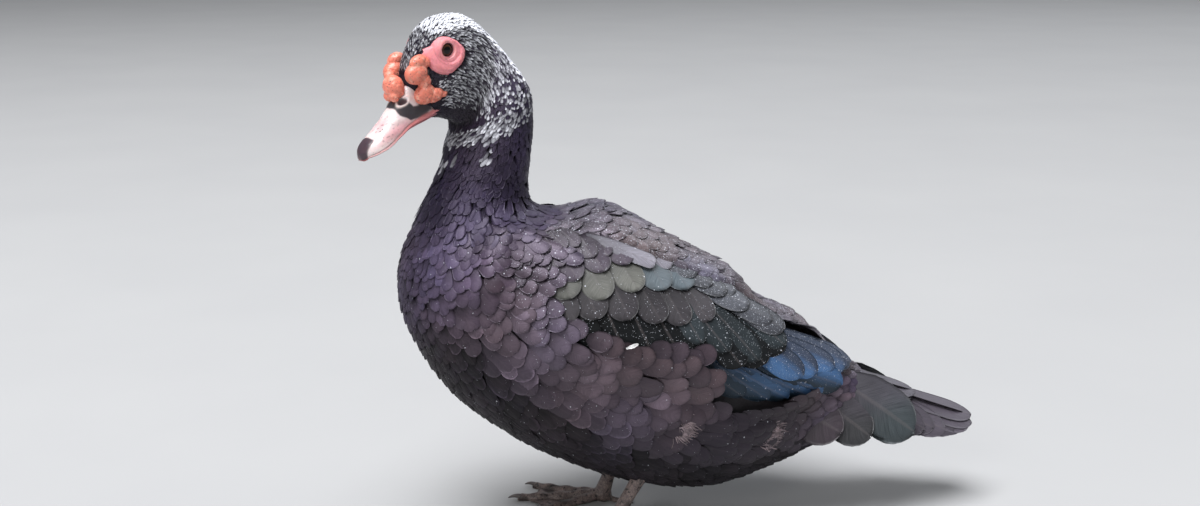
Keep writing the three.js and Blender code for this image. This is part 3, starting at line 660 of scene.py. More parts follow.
WHITE_TONE = (0.76, 0.77, 0.82)


def with_seed(colour, rng):
    """Colours over each feather, with a random number for each feather behind them."""
    count, rows, columns = colour.shape[:3]
    seed = np.tile(rng.random((count, 1, 1, 1)), (1, rows, columns, 1))
    return np.concatenate([colour, seed], axis=-1).reshape(count, rows * columns, 4)


def feather_tint(base, made, rng, edge=0.35, light=0.0, spread=0.09, white=None, bright=None):
    """Colours over each feather: painted shade that darkens its root, where the feather over it lies; a rim
    darker partly by its own edge and partly by painted shade of the gap; a painted highlight over its
    middle;
    a pale painted highlight line at the tip where light is over 0; a random strength; and a white tip where
    white, the share of its length, is over 0."""
    along, across, count = made["along"], made["across"], len(base)
    strength = np.exp(rng.normal(0, spread, (count, 1, 1, 1)))
    hue = 1 + rng.normal(0, 1, (count, 1, 1, 1)) * np.array([0.015, 0.0, -0.015])
    edge, light = (np.broadcast_to(part, (count,))[:, None, None] for part in (edge, light))
    # The rim near the tip: darkened by edge, partly the feather's own darker edge and partly painted shade
    # of the gap, and lightened by light, a painted highlight of the tip's lit edge
    rim = ramp(made["rim"], 0.78, 1) * along
    # Painted shade: the root half is darker, as if shaded by the feather that lies over it
    shade = (1 + (light - edge) * rim) * (1 - edge + 1.4 * edge * ramp(along, 0.4, 0.8))
    # Painted highlight: the middle of the feather is lighter than its rim, as on a lit dome
    shade = shade * (1 + 0.3 * edge * (1 - made["rim"] ** 2))
    colour = base[:, None, None, :] * strength * hue * shade[..., None]
    if white is not None:
        reach, level = white[:, None, None], bright[:, None, None, None]
        mask = np.where(reach > 0, ramp(along, 1 - reach, 1.15 - reach), 0)
        mask = mask * np.where(reach > 0.9, 1, 1 - 0.5 * ramp(np.abs(across), 0.3, 1))
        colour = towards(colour, np.array(WHITE_TONE) * level, mask)
    return with_seed(colour, rng)


# The edge of the flank's feathers over the folded wing, round it by the place along it
FLANK_EDGE = [
    (-40, 40), (-19, 16), (-9, 14), (12, 3), (42, -5), (52, -8), (62, -7), (77, -3), (94, 0), (111, 2),
    (127, 6), (147, 3), (165, -8), (185, -24), (205, -30), (218, -24), (240, -10), (264, 4),
]
WING_FRONT = -24
WING_TOP = [(-20, 84), (150, 84), (195, 70), (232, 50), (290, 40)]
WING_BACK = 262
# How high flank and back feathers lie over the wing at its edges, and the most that they are lifted
COVER_HEIGHT = 8.0
BACK_HEIGHT = 10.0
MOST_COVER = 22.0


def inside_wing(along, around):
    """Millimetres inside the edge of the folded wing that shows, and below 0 outside it."""
    lengthwise = np.minimum(along - WING_FRONT, WING_BACK - along)
    upright = np.minimum(around - through(FLANK_EDGE, along), through(WING_TOP, along) - around)
    return np.minimum(lengthwise, upright)


def over_wing(stations, angles):
    """The lift that carries flank and back feathers over the edges of the folded wings."""
    base, normal = body_point(stations, angles)
    mirror = np.stack([np.where(base[..., 0] < 0, -1.0, 1.0), *[np.ones(base.shape[:-1])] * 2], axis=-1)
    base, normal = base * mirror, normal * mirror
    along, around = wing_place(base)
    height = COVER_HEIGHT + (BACK_HEIGHT - COVER_HEIGHT) * ramp(around, 70, 90)
    target, _ = wing_point(along, around, 1, height)
    gap = np.clip(((target - base) * normal).sum(axis=-1), 0, MOST_COVER)
    flank = ramp(inside_wing(along, around), -52, -20) * (1 - ramp(along, 235, 275))
    flank = flank * (1 - ramp(around, 60, 80)) * ramp(stations, 9, 11)
    back = ramp(around, 76, 96) * between(along, 0, 45, 150, 195)
    return gap * np.maximum(flank, back)


def root_places(t, angle):
    """Roots on the skin's own unwrap, its length up and its girth across."""
    around = (angle + math.pi) % (2 * math.pi) - math.pi
    return np.stack([0.5 + around / (2 * math.pi) * 0.98, 0.01 + 0.98 * t / LAST_STATION], axis=-1)


def sleekness(t):
    """1 on the lower neck, where the feathers lie close, and 0 elsewhere."""
    return between(t, 6.8, 7.8, 9.8, 11.2)


def contour_spec(t, angle, rng, sizes):
    """Sizes of body feathers by their place."""
    gap = spacing(t, angle)
    count = len(t)
    head = 1 - ramp(t, 4.6, 6.2)
    trunk = ramp(t, 9.5, 12.5)
    around = from_back(angle)
    crest = bell(around, 0, 0.5) * head * ramp(t, 1.5, 3)
    under = ramp(around, 1.9, 2.6) * trunk
    flank = ramp(t, 11, 13) * ramp(around, 0.9, 1.4) * (1 - under)
    sleek = sleekness(t)
    ruffle = np.maximum(waves(bare_point(t, angle), 26, 64), 0)
    longer = np.exp(rng.normal(0, 0.14, count))
    wider = np.exp(rng.normal(0, 0.07, count))
    return {
        "length": gap * (2.5 + 1.0 * crest + 0.5 * head + 0.6 * sleek) * longer * sizes.feather_length,
        "width": gap * (1.36 - 0.2 * head + 0.06 * trunk + 0.1 * flank - 0.05 * sleek) * wider,
        "root": -0.55 * through(SKIN_DEPTH, t),
        "tip": 0.45 + 1.5 * trunk - 0.8 * under + 1.1 * flank + crest * rng.uniform(1.0, 3.2, count)
        + rng.uniform(-0.15, 0.35, count) * (1 + 2 * trunk) + ruffle * (1.1 * sleek + 0.8 * trunk),
        "rise": 0.65 + 0.2 * trunk,
        "curl": 0.1 + 0.04 * trunk,
        "cup": 0.10 + 0.04 * trunk,
        "dome": gap * (0.04 * trunk + 0.05 * flank),
        "bend": rng.normal(0, 0.05, count),
        "tilt": rng.normal(0, 0.14, count) * (0.3 + trunk + sleek) + 0.3 * trunk * np.sign(angle),
        "shaft": 0.03 + 0.07 * trunk,
        "thick": 0.16 + 0.2 * trunk,
        "ragged": 0.012 * gap,
    }


def wetness(t, angle, at):
    """The share of drops that lie on a body feather."""
    along, around = wing_place(at)
    shoulder = bell(along, -8, 34) * bell(around, 38, 30)
    back = ramp(t, 10.6, 12) * (1 - ramp(from_back(angle), 0.6, 1.0))
    return np.clip(0.03 + 0.4 * shoulder + 0.9 * back, 0, 1) * ramp(t, 8.5, 10.5)


def feathered(t, at, tip_t, tip):
    """Which roots grow a feather: those off the bare face, outside the wings and before the tail's end."""
    along, around = wing_place(at)
    most_inside = 5 + 12 * (1 - ramp(along, -20, 0))
    most_tip_inside = 3 - 17 * ramp(along, 115, 150)
    bare = (is_bare(head_place(at)) | is_bare(head_place(tip))) & (t < 6)
    under_wing = (inside_wing(along, around) > most_inside) & (t > 10)
    into_wing = (inside_wing(*wing_place(tip)) > most_tip_inside) & (along > 20) & (t > 10) & (around < 60)
    return ~bare & ~under_wing & ~into_wing & (tip_t < LAST_STATION + 0.3)


def white_tips(t, angle, tip, rng):
    """How far each feather is white from its tip back, and how bright. t is where the white shows."""
    chance, whole = head_white(t, angle, head_place(tip))
    draw = rng.random(len(t))
    white = np.where(draw < chance, np.where(whole, 1, rng.uniform(0.3, 0.75, len(t))), 0)
    front = 1 - ramp(t, 2.9, 3.4)
    collar = ramp(t, 5.0, 5.8)
    bright = (0.15 + 0.55 * rng.random(len(t)) ** 1.4) * (1 + 0.4 * collar + 0.5 * front)
    return white, np.where(whole, rng.uniform(0.85, 1.2, len(t)), bright)


# How far cheek and flank feathers turn from straight down the body
CHEEK_TURN = 0.55
FLANK_TURN = 0.5
# How much darker, in red, green and blue, the flank's feathers are painted close to the wing: a painted
# shadow of the folded wing
WING_SHADE = (0.3, 0.34, 0.44)


def coat(name, span, grid, material, context, seed, sector=None):
    """Contour feathers over a length of the body. sector limits the angle from the back."""
    rng = np.random.default_rng(seed)
    t, angle = scatter(*span, rng)
    if sector is not None:
        around = from_back(angle)
        chosen = (around >= sector[0]) & (around < sector[1])
        t, angle = t[chosen], angle[chosen]
    at = bare_point(t, angle)
    spec = contour_spec(t, angle, rng, context.scene.duck_sizes)
    along, _ = body_metric(t, angle)
    tip_t = t + spec["length"] / along
    tip = bare_point(tip_t, angle)
    keep = feathered(t, at, tip_t, tip)
    wing_along, wing_round = wing_place(at)
    inside = inside_wing(wing_along, wing_round)
    near = ramp(inside_wing(*wing_place(tip)), -30, -6) * (t > 10.5) * (wing_round < 50)
    spec["length"] *= 1 - 0.3 * near
    spec["width"] *= 1 - 0.1 * near
    spec["dome"] *= 1 - near
    white, bright = white_tips(t + 0.8 * spec["length"] / along, angle, tip, rng)
    sleek = sleekness(t)
    turn = rng.normal(0, 1, len(t)) * (0.14 + 0.14 * sleek)
    cheek = between(t, 1.5, 2.5, 4.2, 5.4) * ramp(np.abs(angle), 0.6, 1.1)
    upwards = ramp(inside, -40, -2) * ramp(wing_along, 30, 70) * (t > 11)
    turn += np.sign(angle) * (CHEEK_TURN * cheek - FLANK_TURN * upwards)
    # shade: where the painted shadow of the folded wing falls on the flank's feathers
    shade = ramp(inside, -50, -10) * ramp(wing_along, 30, 60) * (wing_round < 60)
    wet = wetness(t, angle, at)
    spec = {key: value[keep] for key, value in spec.items()}
    kept = (t, angle, turn, white, bright, sleek, shade, wet)
    t, angle, turn, white, bright, sleek, shade, wet = (part[keep] for part in kept)
    made = vanes(body_place(t, angle, turn, over_wing), spec, grid, "round" if t.mean() > 5 else "lance")
    around = from_back(angle)
    # light: a painted highlight, pale rims on the tips of the lower breast's feathers, as if lit by the sky
    light = 4 * ramp(around, 1.7, 2.0) * between(t, 11.5, 13, 16.5, 17.5)
    light = light * (1 - ramp(around, 2.3, 2.7)) * rng.random(len(t))
    # The painted shadow of the wing darkens the flank's feathers near it
    base = body_tone(t, angle, context.scene.duck_colours) * (1 - shade[:, None] * np.array(WING_SHADE))
    tint = feather_tint(base, made, rng, edge=0.46 - 0.3 * sleek, light=light, white=white, bright=bright)
    feather_object(name, made, tint, root_places(t, angle), material, wet)


# Materials


def feed(tree, socket, value):
    """Links a node's output to a socket, or sets the socket."""
    if isinstance(value, bpy.types.NodeSocket):
        tree.links.new(value, socket)
    else:
        socket.default_value = value


def put(tree, kind, **values):
    """A node with settings by name, and inputs, by name with spaces as underscores, set or linked."""
    node = tree.nodes.new(kind)
    for key, value in values.items():
        if hasattr(node, key):
            setattr(node, key, value)
        else:
            feed(tree, node.inputs[key.replace("_", " ")], value)
    return node


def maths(tree, operation, *values):
    """The result of a Math node."""
    node = put(tree, "ShaderNodeMath", operation=operation)
    for socket, value in zip(node.inputs, values):
        feed(tree, socket, value)
    return node.outputs[0]


def blended(tree, way, share, first, second):
    """A mix of two colours."""
    node = put(tree, "ShaderNodeMix", data_type="RGBA", blend_type=way)
    for index, value in ((0, share), (6, first), (7, second)):
        feed(tree, node.inputs[index], value)
    return node.outputs[2]


def ranged(tree, value, low, high, to_low, to_high):
    """A value brought from one range to another."""
    ends = {"From_Min": low, "From_Max": high, "To_Min": to_low, "To_Max": to_high}
    return put(tree, "ShaderNodeMapRange", Value=value, **ends).outputs[0]


def noise(tree, scale, detail, **more):
    """The value of a Noise Texture."""
    return put(tree, "ShaderNodeTexNoise", Scale=scale, Detail=detail, **more).outputs[0]


def object_place(tree):
    """Places in the object's own metres."""
    return put(tree, "ShaderNodeTexCoord").outputs["Object"]


def tint_of(tree):
    """The colours that a mesh carries, with their mask as Alpha."""
    return put(tree, "ShaderNodeAttribute", attribute_name="Tint").outputs


def tinted(tree, shader, shade, colour=None):
    """Gives the shader the mesh's own colour, or another one, times a shade."""
    colour = tint_of(tree)["Color"] if colour is None else colour
    tree.links.new(blended(tree, "MULTIPLY", 1.0, colour, shade), shader.inputs["Base Color"])


def bumped(tree, shader, height, strength, distance):
    """Gives the shader a fine relief, its distance in metres."""
    bump = put(tree, "ShaderNodeBump", Height=height, Strength=strength, Distance=distance)
    tree.links.new(bump.outputs[0], shader.inputs["Normal"])


def new_group(name, inputs, outputs):
    """An empty node group with float sockets."""
    group = bpy.data.node_groups.new(name, "ShaderNodeTree")
    for label, value in inputs.items():
        socket = group.interface.new_socket(name=label, in_out="INPUT", socket_type="NodeSocketFloat")
        socket.default_value = value
    for label in outputs:
        group.interface.new_socket(name=label, in_out="OUTPUT", socket_type="NodeSocketFloat")
    return group, group.nodes.new("NodeGroupInput"), group.nodes.new("NodeGroupOutput")


def close_group(group, out, **results):
    """Links the results to a group's outputs."""
    for label, value in results.items():
        group.links.new(value, out.inputs[label])
    return group


def barbs_group():
    """Barbs that run from a feather's shaft out to its edges."""
    inputs = {"Seed": 0, "Reach": 30.0, "Slant": 0.5}
    group, given, out = new_group("Muscovy barbs", inputs, ["Streak", "Ridges", "Shaft"])
    uv = put(group, "ShaderNodeUVMap", uv_map="Vane")
    split = put(group, "ShaderNodeSeparateXYZ", Vector=uv.outputs[0])
    out_from_shaft = maths(group, "ABSOLUTE", maths(group, "SUBTRACT", split.outputs[0], 0.5))
    slant = maths(group, "MULTIPLY", out_from_shaft, given.outputs["Slant"])
    slanted = maths(group, "SUBTRACT", split.outputs[1], slant)
    run = maths(group, "MULTIPLY", slanted, given.outputs["Reach"])
    seed = maths(group, "MULTIPLY", given.outputs["Seed"], 57.0)
    aside = maths(group, "MULTIPLY", out_from_shaft, 2.5)
    where = put(group, "ShaderNodeCombineXYZ", X=run, Y=aside, Z=seed)
    streak = noise(group, 1.0, 3.0, Vector=where.outputs[0], Roughness=0.6)
    ridges = maths(group, "SINE", maths(group, "MULTIPLY", run, 6.0))
    shaft = ranged(group, out_from_shaft, 0.02, 0.05, 1, 0)
    return close_group(group, out, Streak=streak, Ridges=ridges, Shaft=shaft)


def drop_glints_group():
    """Fine rain on the feathers, its share given by the mesh. The drops are real, and their pale colour is a
    painted glint.
    """
    group, given, out = new_group("Muscovy drops", {"Scale": 900.0, "Size": 0.26}, ["Drops"])
    place = object_place(group)
    wet = put(group, "ShaderNodeAttribute", attribute_name="Wet").outputs["Fac"]
    total = None
    for factor in (1.0, 0.45):
        scale = maths(group, "MULTIPLY", given.outputs["Scale"], factor)
        cells = put(group, "ShaderNodeTexVoronoi", Vector=place, Scale=scale)
        chosen = put(group, "ShaderNodeSeparateColor", Color=cells.outputs["Color"])
        grown = maths(group, "ADD", 0.5, maths(group, "MULTIPLY", chosen.outputs[1], 0.5))
        size = maths(group, "MULTIPLY", grown, given.outputs["Size"])
        near = maths(group, "LESS_THAN", cells.outputs["Distance"], size)
        some = maths(group, "LESS_THAN", chosen.outputs[0], maths(group, "MULTIPLY", wet, factor))
        drops = maths(group, "MULTIPLY", near, some)
        total = drops if total is None else maths(group, "MAXIMUM", total, drops)
    return close_group(group, out, Drops=total)


def flesh_group():
    """Mottled shades and soft bumps of living skin and horn."""
    inputs = {"Mottle": 90.0, "Contrast": 0.12, "Grain": 900.0}
    group, given, out = new_group("Muscovy flesh", inputs, ["Shade", "Height"])
    place = object_place(group)
    mottle, contrast, grain = (given.outputs[name] for name in inputs)
    blotch = noise(group, mottle, 4.0, Vector=place, Roughness=0.62)
    darkest = maths(group, "SUBTRACT", 1.0, contrast)
    lightest = maths(group, "ADD", 1.0, contrast)
    shade = ranged(group, blotch, 0.3, 0.7, darkest, lightest)
    cells = put(group, "ShaderNodeTexVoronoi", Vector=place, Scale=grain, feature="SMOOTH_F1")
    finer = noise(group, maths(group, "MULTIPLY", grain, 2.2), 3.0, Vector=place)
    height = maths(group, "ADD", cells.outputs["Distance"], finer)
    return close_group(group, out, Shade=shade, Height=height)


GROUPS = {"Muscovy barbs": barbs_group, "Muscovy drops": drop_glints_group, "Muscovy flesh": flesh_group}


def group_node(tree, name, **values):
    """Places a shared effect, made the first time that it is asked for."""
    group = bpy.data.node_groups.get(name) or GROUPS[name]()
    return put(tree, "ShaderNodeGroup", node_tree=group, **values)


def new_material(name, **constants):
    """A material with its Principled shader, whose constants are set on its own sockets."""
    material = bpy.data.materials.new(name)
    material.use_nodes = True
    tree = material.node_tree
    shader = tree.nodes["Principled BSDF"]
    for key, value in constants.items():
        shader.inputs[key.replace("_", " ")].default_value = value
    return material, tree, shader


SHAFT_COLOUR = (0.14, 0.12, 0.12, 1)
# Pale painted glint of the rain drops
DROP_GLINT_COLOUR = (0.6, 0.62, 0.68, 1)
DROP_STRENGTH = 0.8
RIDGE_HEIGHT = 0.04


def feather_material(name, reach, rough, relief=0.35, contrast=0.3, shaft=0.2, **constants):
    """Barbed vanes in the colours that they carry."""
    material, tree, shader = new_material(name, **constants)
    tint = tint_of(tree)
    barbs = group_node(tree, "Muscovy barbs", Seed=tint["Alpha"], Reach=reach).outputs
    streak = ranged(tree, barbs["Streak"], 0.3, 0.7, 1 - contrast, 1 + contrast)
    colour = blended(tree, "MULTIPLY", 1.0, tint["Color"], streak)
    colour = blended(tree, "MIX", maths(tree, "MULTIPLY", barbs["Shaft"], shaft), colour, SHAFT_COLOUR)
    # Rain drops, painted pale as their glint of the sky
    rain = group_node(tree, "Muscovy drops").outputs["Drops"]
    colour = blended(tree, "MIX", maths(tree, "MULTIPLY", rain, DROP_STRENGTH), colour, DROP_GLINT_COLOUR)
    tree.links.new(colour, shader.inputs["Base Color"])
    roughness = ranged(tree, barbs["Streak"], 0.3, 0.7, rough - 0.1, rough + 0.12)
    tree.links.new(roughness, shader.inputs["Roughness"])
    height = maths(tree, "ADD", barbs["Streak"], maths(tree, "MULTIPLY", barbs["Ridges"], RIDGE_HEIGHT))
    bumped(tree, shader, height, relief, 0.0006)
    return material


def skin_material():
    """Rough skin and flesh that the feathers hide."""
    material, tree, shader = new_material("Skin under the coat", Roughness=0.8)
    grain = noise(tree, 400.0, 3.0)
    tinted(tree, shader, ranged(tree, grain, 0.3, 0.7, 0.6, 1.3))
    bumped(tree, shader, grain, 0.4, 0.0005)
    return material


# Skin
SKIN_ROWS = 180
SKIN_AROUND = 128


def build_skin(context):
    """One skin over head, neck and trunk, in place of their solids."""
    rng = np.random.default_rng(3)
    colours = context.scene.duck_colours
    stations = np.linspace(0, LAST_STATION, SKIN_ROWS)
    angles = np.linspace(-math.pi, math.pi, SKIN_AROUND, endpoint=False)
    t, angle = crossed(stations, angles)
    points, _ = body_point(t, angle, -through(SKIN_DEPTH, t))
    points = points.reshape(-1, 3)
    faces = [face[::-1] for face in tube_faces(SKIN_ROWS, SKIN_AROUND)]
    obj = new_object("skin", points, faces, skin_material())
    t, angle = t.ravel(), angle.ravel()
    tone = body_tone(t, angle, colours) * 0.6
    chance, _ = head_white(t, angle, head_place(bare_point(t, angle)))
    speck = (rng.random(len(t)) < chance * 0.6)[:, None]
    tone = np.where(speck, 0.3, tone)
    add_tint(obj.data, tone)
    add_map(obj.data, "OFBake", root_places(t, angle))
    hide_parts("torso", "neck", "head")


# Wings: tips by their place along the folded wing and round it, from the lowest and foremost feather on
WING_TIERS = {
    "primaries": {
        "edge": 0.3, "count": 5, "tips": [(276, 2), (296, 9), (312, 16)], "heading": (-4, 2),
        "length": (150, 156), "width": (24, 24), "height": (-8, -6), "sink": 2.2, "outline": "long",
        "tone": "primaries", "wet": 0.1,
    },
    "secondaries": {
        "edge": 0.3, "count": 9, "tips": [(122, -14), (186, -22), (230, -14), (262, -4), (284, 10)],
        "heading": (30, 10), "length": (84, 124), "width": (30, 32), "height": (-3, 2.4), "sink": 2.6,
        "outline": "long", "tone": "secondaries", "wet": 0.12,
    },
    "tertials": {
        "edge": 0.3, "count": 5, "tips": [(232, 14), (256, 20), (278, 25), (296, 34)], "heading": (22, 8),
        "length": (104, 150), "width": (30, 33), "height": (4.2, 1.8), "sink": 2.2, "outline": "long",
        "tone": "tertials", "wet": 0.55,
    },
    "greater_coverts": {
        "count": 8, "tips": [(44, -10), (80, -5), (114, 3), (148, 10), (181, 14), (206, 32)],
        "heading": (54, 36), "length": (50, 78), "width": (28, 34), "height": (5.2, 4.6), "sink": 2.2,
        "outline": "round", "tone": "greater_coverts", "wet": 0.35,
    },
    "long_coverts": {
        "count": 4, "tips": [(126, 24), (152, 22), (182, 20), (206, 38)], "heading": (46, 34),
        "length": (66, 74), "width": (24, 26), "height": (6.0, 5.6), "sink": 2.2, "outline": "long",
        "tone": "long_coverts", "wet": 0.35,
    },
    "second_coverts": {
        "count": 6, "tips": [(18, 8), (39, 18), (63, 27), (88, 31), (110, 36), (130, 46)],
        "heading": (50, 50), "length": (38, 50), "width": (28, 31), "height": (6.8, 6.4), "sink": 2.4,
        "outline": "round", "tone": "second_coverts", "wet": 0.22,
    },
    "green_coverts": {
        "count": 5, "tips": [(14, 27), (38, 35), (64, 51), (87, 60), (110, 68)], "heading": (50, 52),
        "length": (32, 46), "width": (29, 34), "height": (7.6, 7.6), "sink": 2.4, "outline": "round",
        "tone": "coverts", "wet": 0.05,
    },
    "purple_coverts": {
        "count": 4, "tips": [(0, 30), (15, 42), (36, 56), (54, 70)], "heading": (46, 48),
        "length": (28, 34), "width": (22, 26), "height": (8.4, 8.6), "sink": 2.6, "outline": "round",
        "tone": "lesser", "wet": 0.2,
    },
    "shoulder_coverts": {
        "count": 7, "tips": [(-24, 22), (-14, 34), (0, 47), (18, 60), (34, 70)], "heading": (38, 46),
        "length": (24, 28), "width": (17, 20), "height": (9.0, 8.6), "sink": 6, "outline": "round",
        "tone": "lesser", "wet": 0.4,
    },
    "shoulder_scales": {
        "count": 6, "tips": [(-30, 33), (-20, 46), (-7, 57), (10, 68)], "heading": (34, 42),
        "length": (20, 22), "width": (14, 16), "height": (9.2, 8.4), "sink": 6, "outline": "round",
        "tone": "lesser", "wet": 0.45,
    },
    "rear_scapulars": {
        "count": 6, "tips": [(126, 98), (150, 84), (176, 67), (205, 52)], "heading": (8, 24),
        "length": (84, 100), "width": (27, 29), "height": (9.0, 7.6), "sink": 5.5, "outline": "long",
        "tone": "scapulars", "wet": 0.8,
    },
    "front_scapulars": {
        "count": 6, "tips": [(84, 106), (100, 97), (120, 87), (146, 75)], "heading": (6, 24),
        "length": (60, 72), "width": (25, 28), "height": (9.4, 9.2), "sink": 7, "outline": "long",
        "tone": "scapulars", "wet": 0.85,
    },
    "pale_scapulars": {
        "count": 2, "tips": [(94, 88), (76, 80)], "heading": (8, 2), "length": (46, 60),
        "width": (16, 15), "height": (8.8, 10.6), "sink": 4.5, "outline": "round",
        "tone": "pale_scapulars", "wet": 0.2,
    },
}


def along_tips(tips, share):
    """Places at shares of a tier, through its listed tips."""
    at = np.linspace(0, 1, len(tips))
    return [through(list(zip(at, column)), share) for column in zip(*tips)]


def lerp(pair, share):
    """Between two values by a share of the way."""
    return pair[0] + (pair[1] - pair[0]) * share


def wing_feather_place(tip_along, tip_around, heading, length, side):
    """The place function of feathers whose tips and headings are given on the wing."""
    given = (tip_along, tip_around, heading, length)
    tip_along, tip_around, heading, length = (part[:, None, None] for part in given)

    def place(reach, aside, lift):
        back = length - reach
        along = tip_along - back * np.cos(heading) + aside * np.sin(heading)
        around = tip_around + back * np.sin(heading) + aside * np.cos(heading)
        return wing_point(along, around, side, lift)

    return place


def wing_tone(name, share, along, across, colours):
    """Linear colours of a tier's feathers at places on them."""
    base = np.array(getattr(colours, name))[None, None, None, :]
    tone = base * np.ones(np.broadcast(share, along, across).shape + (1,))
    if name == "secondaries":
        low = ramp(-across + 0.5 * along, -0.1, 0.9)
        low = np.maximum(low, 1 - ramp(share + 0 * low, 0.25, 0.75))
        tone = towards(tone, colours.teal, low)
    if name == "tertials":
        blue = ramp(-across, -0.5, 0.3) * ramp(along, 0.3, 0.6)
        blue = blue * (1 - ramp(share, 0.5, 1))
        tone = towards(tone, np.array(colours.secondaries) * 1.25, blue)
    if name == "coverts":
        rear = ramp(share + 0 * along * across, 0.5, 0.8)
        tone = towards(tone, colours.teal_coverts, rear)
    return tone


# Where the wing's feathers lie on the skin's unwrap: station and angle, and millimetres for one of each
WING_STATION = 9.5
STATION_LENGTH = 24
WING_ANGLE = 1.75
WING_LOWEST = -30
ANGLE_LENGTH = 110


def build_wing_tier(name, tier, side, material, context, seed):
    """The feathers of one tier of one wing."""
    rng = np.random.default_rng(seed)
    sizes, colours = context.scene.duck_sizes, context.scene.duck_colours
    count = tier["count"]
    share = np.linspace(0, 1, count)
    tip_along, tip_around = along_tips(tier["tips"], share)
    tip_along = tip_along + rng.normal(0, 1.2, count)
    tip_around = tip_around + rng.normal(0, 0.7, count)
    heading = np.radians(lerp(tier["heading"], share) + rng.normal(0, 1.2, count))
    vary = 1 + rng.normal(0, 0.05, count)
    length = lerp(tier["length"], share) * vary
    height = lerp(tier["height"], share) + 0.12 * (np.arange(count) % 2)
    spec = {
        "length": length,
        "width": lerp(tier["width"], share) * vary * sizes.feather_width,
        "root": height - tier["sink"],
        "tip": height,
        "cup": 0.07,
        "bend": rng.normal(0, 0.012, count),
        "tilt": 0.75,
        "ragged": 0.25,
    }
    place = wing_feather_place(tip_along, tip_around, heading, length, side)
    made = vanes(place, spec, "fine", tier["outline"])
    tone = wing_tone(tier["tone"], share[:, None, None], made["along"], made["across"], colours)
    tint = shaded_tint(tone, made, rng, edge=tier.get("edge", 0.6))
    station = WING_STATION + tip_along / STATION_LENGTH
    angle = side * (WING_ANGLE - (tip_around - WING_LOWEST) / ANGLE_LENGTH)
    name = name + "_" + SIDES[side]
    places = root_places(station, angle)
    return feather_object(name, made, tint, places, material, tier["wet"])


def shaded_tint(tone, made, rng, edge=0.6, spread=0.14):
    """Colours given over each feather, with darker thin edges, partly the feather's own and partly painted
    shade of the gaps, painted shade that darkens it towards its root where the feather over it lies, and a
    strength of its own.
    """
    strength = np.exp(rng.normal(0, spread, (len(tone), 1, 1, 1)))
    rim = ramp(made["rim"], 0.82, 0.98)
    # Painted shade: a darker thin rim, and a darker root half as if shaded by the feather over it
    shade = (1 - edge * rim) * (0.62 + 0.45 * ramp(made["along"], 0.3, 0.8))
    return with_seed(tone * strength * shade[..., None], rng)


WING_BED_ALONG = (-30, 225)
WING_BED_LOW = [(-30, 20), (20, 0), (120, 2), (225, 10)]
WING_BED_HIGH = [(-30, 36), (10, 74), (90, 82), (150, 76), (225, 40)]


def build_wing_bed(side, context):
    """The flesh of a folded wing, which its feathers hide."""
    rows, columns = 40, 24
    lengths, shares = np.linspace(*WING_BED_ALONG, rows), np.linspace(0, 1, columns)
    along, share = crossed(lengths, shares)
    low, high = through(WING_BED_LOW, along), through(WING_BED_HIGH, along)
    around = low + (high - low) * share
    swell = np.sqrt(np.clip(1 - (2 * share - 1) ** 2, 0, 1))
    swell = swell * np.minimum(1, (along - WING_BED_ALONG[0]) / 30)
    upper, normal = wing_point(along, around, side, -6 + 4 * swell)
    lower = upper - normal * (1 + 10 * swell)[..., None]
    points = np.concatenate([upper.reshape(-1, 3), lower.reshape(-1, 3)])
    faces = slab_faces(rows, columns)
    if side == LEFT:
        faces = faces[:, ::-1]
    obj = new_object("wing_bed_" + SIDES[side], points, faces, skin_material())
    colours = context.scene.duck_colours
    rump = np.tile((ramp(along, 130, 160) * ramp(around, 46, 60)).reshape(-1, 1), (2, 1))
    tone = np.array(colours.greater_coverts) * 0.5 * (1 - rump) + np.array(colours.mantle) * rump
    add_tint(obj.data, tone)


def build_wings(context):
    """Both folded wings, tier over tier, in place of their solids."""
    gloss = feather_material(
        "Glossed flight feathers", 110.0, 0.42, Specular_IOR_Level=0.4,
        Specular_Tint=(0.7, 0.82, 1.0, 1)
    )
    matt = feather_material("Wing coverts", 64.0, 0.46, shaft=0.12, Specular_IOR_Level=0.4)
    dark = feather_material("Dark coverts", 64.0, 0.5, shaft=0.25, Specular_IOR_Level=0.18)
    looks = {name: gloss for name in ("primaries", "secondaries", "tertials")}
    looks |= {name: dark for name in ("greater_coverts", "long_coverts")}
    for side in (LEFT, RIGHT):
        build_wing_bed(side, context)
        for index, (name, tier) in enumerate(WING_TIERS.items()):
            made = build_wing_tier(name, tier, side, looks.get(name, matt), context, 40 + index)
        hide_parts("wing_" + SIDES[side])


# Tail
TAIL_ROOT = np.array([208.0, 126.0])
TAIL_SHIFT = 1.7
TAIL_TIERS = {
    "rectrices": {
        "pairs": 8, "length": 148, "shorter": 0.38, "fan": 9, "drop": 20.5, "more": 6, "tent": 22,
        "roll": 34, "spread": 13, "fall": 10, "rise": 4, "width": 32, "uneven": 0.01, "tone": "rectrices",
        "outline": "long",
    },
    "upper_coverts": {
        "pairs": 4, "length": 86, "shorter": 0.35, "fan": 8, "drop": 19, "more": 6, "tent": 20,
        "roll": 34, "spread": 10, "fall": 8, "rise": 8, "width": 28, "uneven": 0.06,
        "tone": "tail_coverts", "outline": "long",
    },
    "root_coverts": {
        "pairs": 5, "length": 52, "shorter": 0.3, "fan": 14, "drop": 20, "more": 8, "tent": 10,
        "roll": 44, "spread": 17, "fall": 13, "rise": 11, "width": 29, "uneven": 0.08,
        "tone": "tail_coverts", "outline": "round",
    },
    "under_coverts": {
        "pairs": 5, "length": 78, "shorter": 0.2, "fan": 18, "drop": 26, "more": 0, "tent": 0, "roll": 6,
        "spread": 16, "fall": 8, "rise": -16, "width": 28, "uneven": 0.05, "tone": "under_tail",
        "outline": "round",
    },
}


